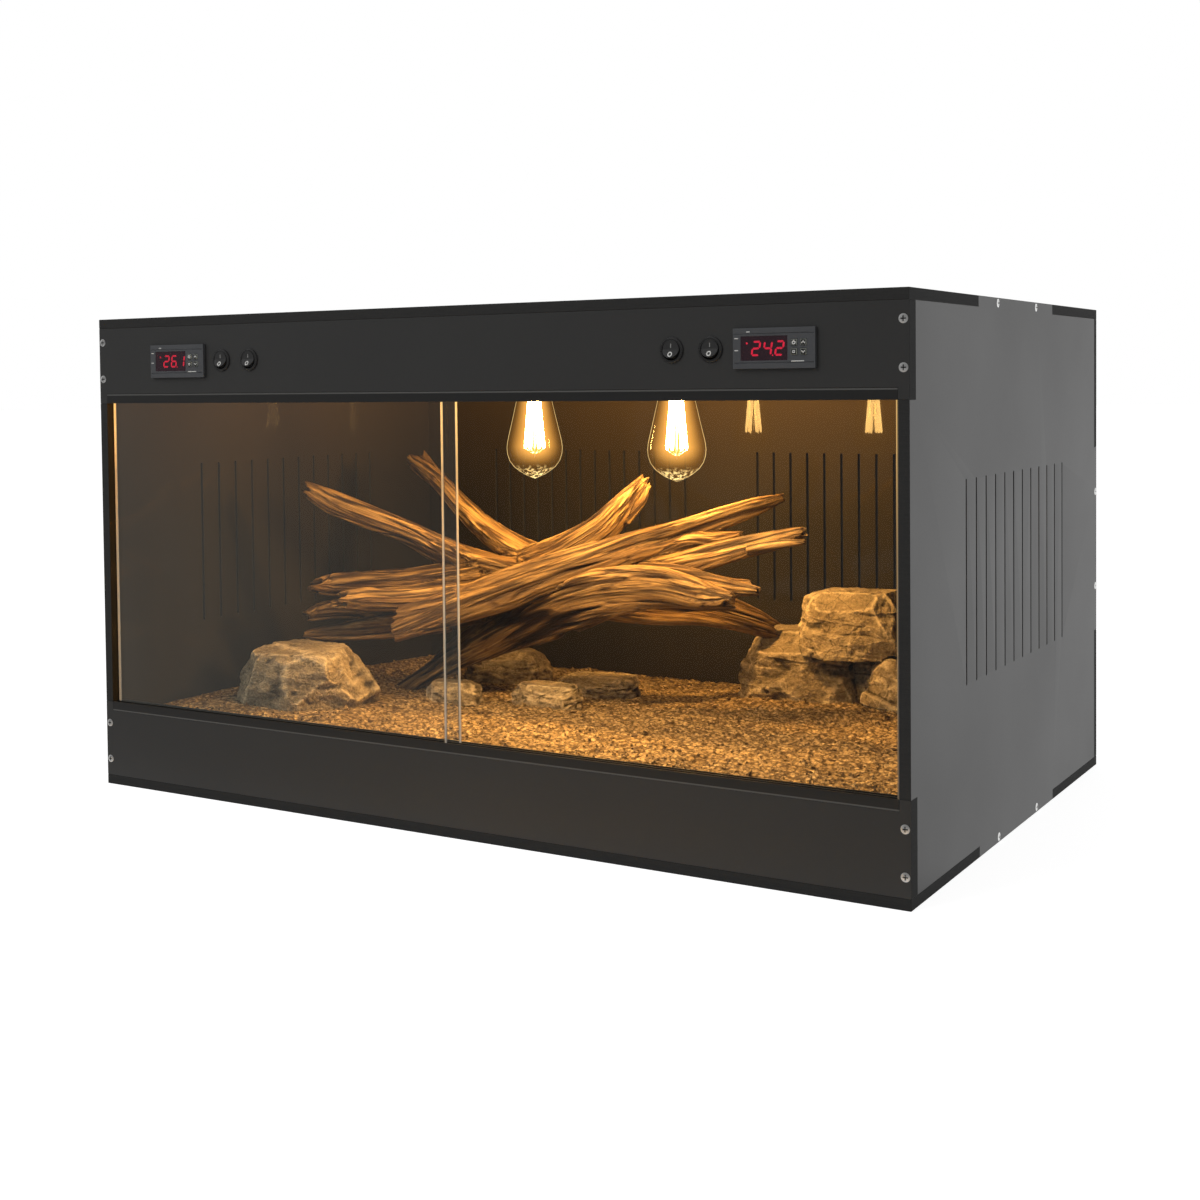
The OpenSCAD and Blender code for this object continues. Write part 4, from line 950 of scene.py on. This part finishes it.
# %% Limb paths
# Millimetres from the middle of the cabinet and the sand's front surface: x, y, z, radius
LIMBS = [
    # upper left limb, blunt and forked
    [[-348, -90, 238, 8], [-321, -74, 221, 12], [-282, -58, 204, 13], [-239, -42, 188, 13],
     [-202, -26, 168, 16], [-164, -10, 150, 20], [-100, -5, 140, 22]],
    # tall limb behind it, with its second prong
    [[-319, 85, 262, 10], [-266, 68, 237, 12], [-216, 51, 206, 13], [-166, 34, 180, 16],
     [-113, 17, 161, 19], [-61, 0, 152, 20]],
    [[-313, 95, 270, 5], [-292, 86, 251, 7], [-262, 78, 229, 9]],
    # middle limb and its split
    [[22, 50, 251, 5], [12, 40, 233, 10], [-4, 30, 211, 14], [-23, 20, 190, 16],
     [-57, 10, 168, 18], [-97, 0, 150, 20]],
    [[31, 44, 243, 4], [23, 41, 225, 6], [5, 38, 205, 8]],
    # long upper limb, from high on the right across to the blunt end on the left
    [[184, 65, 232, 5], [161, 46, 223, 9], [127, 28, 210, 11], [90, 10, 196, 13],
     [47, -9, 182, 16], [5, -28, 165, 19], [-43, -46, 148, 20], [-97, -64, 127, 21],
     [-147, -83, 108, 19], [-176, -102, 96, 16], [-203, -122, 84, 12]],
    # broken ledge under it
    [[155, 20, 194, 6], [128, 15, 188, 10], [98, 10, 187, 12], [63, 5, 175, 14], [23, 0, 161, 15]],
    # thin right limb and its prong
    [[251, -35, 206, 5], [219, -28, 196, 8], [177, -21, 184, 10], [138, -14, 173, 12],
     [88, -7, 159, 14], [37, 0, 150, 15]],
    [[255, -42, 196, 3], [227, -38, 192, 5], [191, -34, 183, 7]],
    # front trunk, from its blunt right end down to the foot in the sand
    [[181, -65, 137, 12], [149, -57, 137, 18], [100, -48, 141, 21], [40, -40, 135, 24],
     [-23, -32, 119, 26], [-88, -23, 94, 24], [-144, -15, 67, 21], [-190, -5, 45, 17],
     [-240, 4, 18, 13], [-300, 14, -14, 10]],
    # two spikes beside the blunt end
    [[208, -50, 145, 4], [178, -42, 145, 7], [139, -35, 148, 10], [99, -28, 150, 13],
     [53, -20, 147, 16]],
    [[195, -40, 153, 3], [168, -35, 151, 5], [136, -30, 153, 7]],
    # low limb at the back
    [[122, 178, 70, 11], [108, 146, 83, 13], [89, 115, 95, 15], [61, 83, 105, 17],
     [24, 52, 109, 18], [-33, 20, 120, 20]],
    # three blunt limbs on the left, one above the other
    [[-329, -100, 126, 9], [-316, -82, 126, 13], [-279, -64, 128, 15], [-237, -46, 130, 16],
     [-195, -28, 135, 19], [-154, -10, 141, 22]],
    [[-280, -115, 114, 11], [-257, -94, 114, 15], [-223, -72, 113, 16], [-185, -51, 116, 18],
     [-135, -30, 122, 22]],
    [[-352, -90, 89, 6], [-335, -75, 95, 10], [-305, -60, 97, 12], [-279, -45, 94, 14],
     [-223, -30, 93, 18], [-150, -25, 105, 20]],
    [[-345, -100, 70, 5], [-320, -85, 73, 8], [-285, -65, 77, 11], [-239, -50, 82, 13],
     [-185, -35, 90, 15]],
    # split beside the blunt left end
    [[-201, -118, 104, 7], [-172, -99, 110, 10], [-139, -79, 119, 13], [-105, -60, 127, 16]]]
# Voxel size in millimetres and limbs of each bundle. The largest one has the coarser skin
BUNDLES = {"back": (1.3, (0, 1, 2, 3, 4, 12)), "long": (1.3, (5, 6, 7, 8, 17)),
           "front": (1.48, (9, 10, 11, 13, 14, 15, 16))}


def smooth_path(points, steps=8):
    """A path through the points: on each stretch 0.5 (2b + (c-a)t + (2a-5b+4c-d)t^2
    + (3b-a-3c+d)t^3), for the points a, b, c, d round it and t from 0 to 1."""
    p = np.vstack([points[:1], points, points[-1:]]).astype(float)
    t = (np.arange(steps) / steps)[None, :, None]
    a, b, c, d = (p[k:len(p) - 3 + k, None] for k in range(4))
    curve = 0.5 * (2 * b + (c - a) * t + (2 * a - 5 * b + 4 * c - d) * t ** 2
                   + (3 * b - a - 3 * c + d) * t ** 3)
    return np.vstack([curve.reshape(-1, p.shape[1]), points[-1:]])


class Limb:
    """A limb's path in metres, with its radius, its length so far and two cross directions."""

    def __init__(self, points):
        path = smooth_path(np.array(points, float)) * MM
        self.radius = path[:, 3]
        self.centre = path[:, :3] + (0, mid_y, SAND_HIGH[2])
        self.along = np.gradient(self.centre, axis=0)
        self.along /= np.linalg.norm(self.along, axis=1, keepdims=True)
        gaps = np.linalg.norm(np.diff(self.centre, axis=0), axis=1)
        self.length = np.concatenate([[0], np.cumsum(gaps)])
        self.side = np.cross(self.along, (0, 0, 1))
        self.side /= np.linalg.norm(self.side, axis=1, keepdims=True)
        self.up = np.cross(self.side, self.along)

    def tube(self, seed, around=40):
        """Radius times (1 + lobes) round the path. Near the free tip, each strip of the tube
        runs on by its own jagged length and thins, and the last ring sinks into the limb."""
        rng = np.random.default_rng(seed)
        turn, s, tip = circle(around), self.length[:, None], self.radius[0]
        lobes = sum(high * np.sin(count * turn + rng.uniform(0, TAU) + s * twist)
                    for high, count, twist in ((0.16, 2, 9), (0.10, 3, -16), (0.05, 5, 25)))
        jag = np.repeat(rng.uniform(0, 1, around // 4), 4)[None, :]
        near_tip = np.clip(1 - s / (2.2 * tip), 0, 1)
        wide = self.radius[:, None] * (1 + lobes) * (1 - 0.18 * near_tip * (0.2 + jag))
        points = (self.centre[:, None] + wide[..., None] * (np.cos(turn)[..., None] * self.side[:, None]
                  + np.sin(turn)[..., None] * self.up[:, None]))
        points -= self.along[:, None] * (near_tip * (jag - 0.35) * 1.9 * tip)[..., None]
        first = (self.centre[0] + self.along[0] * tip * 1.5) + (points[0] - self.centre[0]) * 0.3
        last = self.centre[-1:] + (points[-1] - self.centre[-1]) * 0.4
        rings = np.concatenate([first[None], points, last[None]])
        faces = grid_faces(len(rings), around, wrap_columns=True).tolist()
        return rings, faces + [list(range(around)), list(range(len(rings) * around))[:-around - 1:-1]]


def melted(points, faces, voxel):
    """One closed skin round all the tubes: Blender's voxel Remesh, read back as arrays."""
    work = bpy.data.objects.new("work", bpy.data.meshes.new("work"))
    work.data.from_pydata(points.tolist(), [], faces)
    bpy.context.collection.objects.link(work)
    remesh = work.modifiers.new("skin", "REMESH")
    remesh.mode, remesh.voxel_size = "VOXEL", voxel
    skin = work.evaluated_get(bpy.context.evaluated_depsgraph_get()).to_mesh()
    got = np.empty(3 * len(skin.vertices))
    skin.vertices.foreach_get("co", got)
    quads = np.empty(len(skin.loops), np.int32)
    skin.loops.foreach_get("vertex_index", quads)
    bpy.data.objects.remove(work)
    return got.reshape(-1, 3), quads.reshape(-1, 4)


def eased(points, quads, rounds=2, share=0.5):
    """Each round moves a point part of the way to the mean of its neighbours."""
    a, b = quads.ravel(), np.roll(quads, 1, axis=1).ravel()
    count = np.bincount(a, minlength=len(points)) + np.bincount(b, minlength=len(points))
    for _ in range(rounds):
        mean = np.stack([(np.bincount(a, column[b], len(points))
                          + np.bincount(b, column[a], len(points))) / count for column in points.T], 1)
        points = points + (mean - points) * share
    return points


def grain_of(points, limbs):
    """For each point: its length along the nearest limb and its offset across it, in metres,
    and the limb's number. Near means few radii away from the limb's path."""
    best = np.full(len(points), 1e9)
    found, which = np.zeros((len(points), 3)), np.zeros(len(points))
    for number, limb in enumerate(limbs):
        gap = np.linalg.norm(points[:, None] - limb.centre[None], axis=2)
        k = np.argmin(gap / limb.radius, axis=1)
        near = (gap[np.arange(len(points)), k] - limb.radius[k]) / limb.radius[k]
        offset = points - limb.centre[k]
        here = np.stack([limb.length[k] + np.sum(offset * limb.along[k], 1),
                         np.sum(offset * limb.side[k], 1), np.sum(offset * limb.up[k], 1)], 1)
        closer = near < best
        best[closer], found[closer], which[closer] = near[closer], here[closer], number
    return found, which


def driftwood_piece(bundle, voxel, numbers, limbs, finish):
    """One bundle's melted skin, lowered along its normals by flutes, by cracks up to 6 mm deep
    where a noise crosses zero, and by fine splits. The noise is drawn out along the grain."""
    points, faces = merged([limbs[i].tube(40 + i) for i in numbers])
    skin, faces = melted(points, faces, voxel)
    skin = eased(skin, faces)
    grain, which = grain_of(skin, limbs)
    fibre = grain * (0.05, 1, 1) + which[:, None] * (0.07, 0.31, 0.17)
    fibre[:, 1:] += value_noise(grain, 0.06, 5, 2)[:, None] * 0.003
    flute = value_noise(fibre, 0.011, 6)
    crack = (np.clip(1.25 - np.abs(value_noise(fibre, 0.0120, 7)) / 0.11, 0, 1)
             * np.clip(0.45 + value_noise(skin, 0.045, 9) * 1.6, 0, 1))
    split = (np.clip(1 - np.abs(value_noise(fibre, 0.0050, 8)) / 0.16, 0, 1)
             * np.clip(0.6 + value_noise(skin, 0.02, 10) * 1.6, 0, 1))
    depth = np.clip(np.linalg.norm(grain[:, 1:], axis=1) / 0.020, 0.35, 1.1)
    piece = put_mesh("driftwood_" + bundle, skin, faces, finish, tidy=False, replaces="driftwood",
                     slot="driftwood", attributes={
                         "grain": grain, "hollow": np.stack([crack, split, flute * 0.5 + 0.5], 1)})
    normal = np.empty(3 * len(skin))
    piece.data.vertices.foreach_get("normal", normal)
    drop = depth * (0.0060 * crack + 0.0016 * split - 0.0030 * flute)
    piece.data.vertices.foreach_set("co", (skin - normal.reshape(-1, 3) * drop[:, None]).ravel())
    piece.data.update()
    print(piece.name, len(piece.data.polygons), "faces")


# %% Driftwood finish
def wood_finish():
    """Bands and fibres of brown, cut by thin dark lines wherever a drawn-out noise passes its middle
    value, lighter on the ridges between the flutes, and black-brown in the cracks and splits. The lighter
    ridges and the dark cracks are painted light and shade."""
    wood = Finish("weathered root", (0.36, 0.22, 0.09), 0.7)
    band, fibre, hair, long_line, short_line = (
        wood.noise(1.0, *kind, stretch=(along, across, across), over="grain")
        for along, across, *kind in ((4, 60, 2.0), (9, 230, 3.0, 0.6), (15, 450, 2.0, 0.6),
                                     (5, 120, 2.0, 0.5, 0.15), (16, 330, 2.0, 0.5, 0.1)))
    cloud = wood.noise(12.0)
    crack, split, high = wood.axes(wood.at("hollow"))
    thick = (1.3 - abs(long_line - 0.5) / 0.085).clamp() * ((band - 0.40) * 8.0).clamp()
    thin = (1 - abs(short_line - 0.5) / 0.07).clamp() * ((cloud - 0.36) * 6.0).clamp()
    # painted light and shade: high is the height of the flutes, so ridges come out lighter and grooves
    # darker
    colour = wood.ramp(fibre * 0.5 + band * 0.3 + high * 0.2, (0.34, (0.045, 0.023, 0.008)),
                       (0.45, (0.150, 0.086, 0.029)), (0.57, (0.30, 0.182, 0.064)),
                       (0.72, (0.56, 0.364, 0.150)))
    for share, layer in ((((hair - 0.5) * 8.0).clamp() * 0.6, (0.075, 0.040, 0.013)),
                         (cloud * 0.35, (0.23, 0.115, 0.031)), (thin * 0.75, (0.035, 0.016, 0.004)),
                         (thick * 0.92, (0.016, 0.007, 0.002)),
                         # painted shade in the splits and the cracks
                         ((split * 0.9).clamp(), (0.045, 0.021, 0.007)),
                         ((crack * 1.6).clamp(), (0.014, 0.006, 0.002))):
        colour = wood.mix(share, colour, layer)
    wood.put(Base_Color=colour, Roughness=0.55 + hair * 0.3)
    wood.bump(fibre - thick * 0.8, 0.9, 0.0025, wood.bump(hair - thin * 0.5, 0.7, 0.0009))
    return wood


wood = wood_finish()
paint("driftwood", wood)
limbs = [Limb(points) for points in LIMBS]
for bundle, (voxel, numbers) in BUNDLES.items():
    driftwood_piece(bundle, voxel * MM, numbers, limbs, wood)

# %% [markdown]
# ## Rocks
# Each rock was built as a plain angular solid. The finished stone keeps that shape: rays from
# its middle find the solid's surface on a fine grid of directions. Planes then split off its
# broad faces, a shell of folded triangles creases them, level ledges run round the sides, and
# small pits and knocks roughen it. So a rock never leaves its place.

# %% Rock shapes
def shell(points, faces, epsilon=1e-6):
    return BVHTree.FromPolygons(points.tolist(), faces.tolist(), epsilon=epsilon)


def cast(tree, middle, ways):
    """How far a closed shell is from the middle along each way, and which face is met."""
    start = Vector(middle)
    hits = [tree.ray_cast(start, way) for way in ways.tolist()]
    far = np.array([hit[3] or 0.0 for hit in hits])
    far[far == 0] = np.median(far)
    return far, np.array([hit[2] or 0 for hit in hits])


def unit(vectors):
    return vectors / np.linalg.norm(vectors, axis=1, keepdims=True)


def folds(ways, count, depth, rng):
    """A field of creased flats from 1 - depth up to 1: a ball of triangles whose corners
    lie at random heights, measured against the same ball with all its corners at height 1.
    Also how close each way passes to a crease, in radians, and a random tone per triangle."""
    i = np.arange(count) + 0.5
    z, turn = 1 - 2 * i / count, i * 2.399963
    tips = np.stack([np.sqrt(1 - z * z) * np.cos(turn), np.sqrt(1 - z * z) * np.sin(turn), z], 1)
    tips = unit(tips + rng.normal(0, 0.75 / math.sqrt(count), (count, 3)))
    work = bmesh.new()
    for tip in tips:
        work.verts.new(tip)
    bmesh.ops.convex_hull(work, input=work.verts)
    work.verts.index_update()
    order = np.array([v.co[:] for v in work.verts])
    faces = np.array([[v.index for v in face.verts] for face in work.faces])
    work.free()
    high = order * rng.uniform(1 - depth, 1, len(order))[:, None]
    even, which = cast(shell(order, faces), (0, 0, 0), ways)
    folded, _ = cast(shell(high, faces), (0, 0, 0), ways)
    spot, met = ways * even[:, None], order[faces[which]]
    crease = np.full(len(ways), 9.0)
    for a, b in ((0, 1), (1, 2), (2, 0)):
        edge = met[:, b] - met[:, a]
        off = np.linalg.norm(np.cross(edge, spot - met[:, a]), axis=1)
        crease = np.minimum(crease, off / np.linalg.norm(edge, axis=1))
    return folded / even, crease, rng.uniform(0, 1, len(faces))[which]


def broad_faces(rng, lean=0.75):
    """Outward directions and how much of the solid each keeps: a top that leans to the front,
    and uneven sides, some of them undercut."""
    turn = np.arange(8) * TAU / 8 + rng.uniform(-0.3, 0.3, 8)
    sides = [(math.cos(a), math.sin(a), rng.uniform(-0.4, 0.45), rng.uniform(0.88, 0.99)) for a in turn]
    return [(0.05, -lean, 1, 0.8), (-0.7, -0.4, 0.7, 0.92), (0.7, -0.5, 0.6, 0.92)] + sides


def broken_rock(name, triangles, seed, rows, columns, ledges, finish, node, faces=None):
    """A grid of directions, stretched to the solid's proportions, carried out to the nearest of its
    surface and the broad faces, and creased. Its attribute holds how far each point stands out from its
    neighbours, its flat's own tone, and how near the edge of a flat it is. The first and the last drive
    painted light and shade in the finish."""
    rng = np.random.default_rng(seed)
    corner = triangles.reshape(-1, 3)
    low, high = corner.min(0), corner.max(0)
    middle, half = (low + high) / 2, (high - low) / 2
    lift, turn = np.meshgrid(np.linspace(-math.pi / 2, math.pi / 2, rows),
                             np.linspace(0, TAU, columns, endpoint=False), indexing="ij")
    up, round_it, x, y = (np.sign(v) * np.abs(v) ** 0.62 for v in (
        np.sin(lift), np.cos(lift), np.cos(turn), np.sin(turn)))
    ways = np.stack([round_it * x, round_it * y, up], -1).reshape(-1, 3)
    ball, ways = unit(ways), unit(ways * half)
    solid = shell(corner, np.arange(len(corner)).reshape(-1, 3), 1e-7)
    cut = np.array(faces or broad_faces(rng))
    normal = unit(cut[:, :3])
    level = np.max((corner - middle) @ normal.T, axis=0) * cut[:, 3]
    along = ways @ normal.T
    reach = np.where(along > 0.02, level / np.maximum(along, 0.02), 9)
    reach = np.sort(np.concatenate([reach, cast(solid, middle, ways)[0][:, None]], 1), axis=1)
    far, main_edge = reach[:, 0], np.clip(1 - (reach[:, 1] - reach[:, 0]) / 0.0022, 0, 1)
    size, scale = float(np.mean(half)), min(1.0, float(np.min(half)) / 0.034)
    coarse, crease, tone = folds(ball, 44, 0.09, rng)
    fine, wrinkle, fine_tone = folds(ball, 360, 0.05, rng)
    points = middle + ways * (far * coarse * fine)[:, None]

    def rough(width, number, octaves=1):
        return value_noise(points, width, seed + number, octaves)

    layer = (points @ (0.14, -0.1, 1) + rough(0.05, 1, 2) * 0.007) / (0.012 * scale)
    steps = rng.uniform(-1, 0.1, 256)
    k = np.floor(layer).astype(int)
    ease = np.clip((layer - k) * 9, 0, 1)
    ledge = steps[(k - 1) % 256] * (1 - ease) + steps[k % 256] * ease
    sides = np.clip(1.5 - 1.7 * np.abs(ball[:, 2]), 0, 1)
    knock = np.clip(rough(0.010, 2, 2) - 0.22, 0, 1)
    push = (ledge * ledges * sides * (0.6 + 0.6 * rough(0.03, 6)) + rough(0.018, 3, 3) * 0.0014
            - knock * 0.0042 + rough(0.0035, 4, 2) * 0.0007) * scale
    depth = (far * (coarse * fine - 1) + push).reshape(rows, columns)
    wide = np.pad(depth, ((4, 4), (0, 0)), "edge")
    around = sum(np.roll(wide[4 + r:4 + r + rows], c, 1) for r in (-4, 0, 4) for c in (-4, 0, 4)) / 9
    proud = ((depth - around) / (0.0011 * scale)).ravel()
    broken = np.clip(0.35 + 2.2 * rough(0.022, 7), 0, 1)
    edge = np.maximum(np.clip(1 - crease * size / 0.0010, 0, 1) * 0.7,
                      np.clip(1 - wrinkle * size / 0.0007, 0, 1) * 0.25) * broken
    wear = np.stack([proud, tone * 0.7 + fine_tone * 0.3, np.maximum(main_edge * 0.9, edge)], 1)
    points = points + ways * push[:, None]
    spread = (points.max(0) - points.min(0)) / 2
    points = middle + (points - points.min(0) - spread) * half / spread
    stone = put_mesh(name, points, grid_faces(rows, columns, wrap_columns=True), finish,
                     smooth=False, attributes={"wear": wear}, replaces=node, slot="rock")
    print(name, len(stone.data.polygons), "faces")


def rock_finish():
    """Grey-brown stone: bands, grit and pits, and hairline cracks; pale worn edges, which are wear and
    also a painted highlight; raised points painted paler as a highlight; and dirt with painted shade in
    every hollow."""
    rock = Finish("layered rock", (0.30, 0.22, 0.13), 0.85)
    bands = rock.noise(24.0, 5.0, 0.65, 0.6, stretch=(1, 1, 4))
    grit, patch, blotch = rock.noise(420.0, 4.0, 0.7), rock.noise(16.0, 4.0), rock.noise(110.0, 4.0, 0.65)
    vein = rock.node("TexVoronoi", {"Vector": rock.at(), "Scale": 34.0, "Randomness": 1.0},
                     feature="DISTANCE_TO_EDGE")
    proud, tone, edge = rock.axes(rock.at("wear"))
    crack = (1 - vein / 0.022).clamp() * ((patch - 0.5) * 14.0).clamp()
    colour = rock.ramp(bands * 0.45 + tone * 0.25 + blotch * 0.3, (0.30, (0.085, 0.064, 0.036)),
                       (0.43, (0.18, 0.134, 0.077)), (0.55, (0.27, 0.203, 0.116)),
                       (0.70, (0.40, 0.31, 0.185)))
    for share, layer in (
            (patch * 0.4, (0.27, 0.19, 0.092)),
            (((blotch - 0.56) * 8.0).clamp() * 0.5, (0.095, 0.07, 0.04)),
            (((grit - 0.46) * 5.0).clamp() * 0.65, (0.08, 0.058, 0.033)),
            (((0.42 - grit) * 6.0).clamp() * 0.5, (0.50, 0.40, 0.25)),
            (crack * 0.75, (0.03, 0.021, 0.012)),
            # painted highlight on raised points, worn edges that are also a painted highlight, and dirt
            # with painted shade in the hollows
            (((proud - 0.2) * 0.8).clamp() * 0.55, (0.52, 0.41, 0.25)),
            ((edge * ((blotch - 0.38) * 6.0).clamp()).clamp() * 0.75, (0.66, 0.52, 0.32)),
            ((-0.2 - proud).clamp() * 0.85, (0.025, 0.018, 0.010))):
        colour = rock.mix(share, colour, layer)
    rock.put(Base_Color=colour, Roughness=0.72 + grit * 0.2)
    rock.bump(bands + blotch * 1.5, 0.8, 0.004, rock.bump(grit, 1.0, 0.0022))
    return rock


# Outward directions of the left boulder's broad faces, and how much of the solid each keeps
BOULDER_FACES = [(-0.06, -0.16, 1, 0.90), (-0.62, -0.78, 0.22, 0.86), (0.36, -0.90, 0.34, 0.88),
                 (0.95, -0.15, 0.42, 0.90), (0.7, -0.6, -0.2, 0.88), (-0.95, 0.1, 0.5, 0.88),
                 (-0.3, 0.9, 0.35, 0.92), (0.5, 0.8, 0.45, 0.92), (0.5, -0.55, 0.85, 0.92)]
# Rows and columns of a stone's grid, how far its ledges stand out, and its broad faces if given
STONES = {"left_boulder": (220, 380, 0.002, BOULDER_FACES), "flat_stones": (130, 220, 0.004, None)}

rock = rock_finish()
for seed, node in enumerate(paint("rock", rock)):
    rows, columns, ledges, faces = STONES.get(node, (220, 380, 0.0085, None))
    solids = loose_solids(node)
    if node == "right_lower_rocks":
        # A smaller stone fills the gap between the two and carries the upper rock too
        last = max(solids, key=lambda solid: solid[..., 0].max()).reshape(-1, 3)
        centre = (last.min(0) + last.max(0)) / 2
        small = (last - centre) * (0.75, 0.7, 1) + (0.218, 0.228, centre[2])
        solids.append(small.reshape(-1, 3, 3))
    for i, solid in enumerate(solids):
        broken_rock(f"{node}_{i + 1}", solid, 100 + 10 * seed + i, rows, columns, ledges, rock, node,
                    faces)

# %% Studio
def studio():
    """White behind the object for the camera, metal and glass, dimmer in front of it, and a
    plain soft level for everything else."""
    world = bpy.data.worlds.new("studio")
    world.use_nodes = True
    bpy.context.scene.world = world
    sky = Graph(world.node_tree)
    depth = sky.node("MapRange", {
        "Value": sky.axes(sky.node("TexCoord", out="Generated"))[1], "From Min": -0.92,
        "From Max": 0.98, "To Min": 0.2, "To Max": 1.12})
    soft, gloss, white = (sky.node("Background", {"Color": (1, 1, 1, 1), "Strength": level})
                          for level in (0.5, depth, 1.0))
    shiny, seen, through = (sky.node("LightPath", out=f"Is {ray} Ray")
                            for ray in ("Glossy", "Camera", "Transmission"))
    sky.show(sky.layer(sky.node("Math", {0: seen, 1: through}, operation="MAXIMUM"),
                       sky.layer(shiny, soft, gloss), white))


def floor_finish():
    """A white floor that keeps its shadow: the camera, and behind the object the sheen of the
    boards, see a little light added to it."""
    pale = Finish("pale floor", (0.42, 0.42, 0.42), 0.9, Emission_Strength=1.0)
    seen, shiny = (pale.node("LightPath", out=f"Is {ray} Ray") for ray in ("Camera", "Glossy"))
    behind = shiny * (pale.axes(pale.at())[1] * 4.0 + 1.7).clamp()
    sheen = pale.mix(behind, (0, 0, 0), (0.85, 0.85, 0.85))
    pale.put(Emission_Color=pale.mix(seen, sheen, (0.84, 0.84, 0.84)))
    return pale


studio()
floor = bpy.data.objects.new("studio_floor", bpy.data.meshes.new("studio_floor"))
floor.data.from_pydata([(-25, -25, 0), (25, -25, 0), (25, 25, 0), (-25, 25, 0)], [], [(0, 1, 2, 3)])
bpy.context.collection.objects.link(floor)
dress(floor, floor_finish())

for name, place, aim, size, power in (
        ("key_light", (-1.4, -2.6, 2.6), (0, 0, 0.2), 1.8, 46.0),
        ("side_light", (2.0, 1.6, 0.4), (0.45, 0.2, 0.2), 1.3, 8.0)):
    way = Vector(aim) - Vector(place)
    add_light(name, "AREA", power, place, way.to_track_quat("-Z", "Y").to_euler(), size=size)
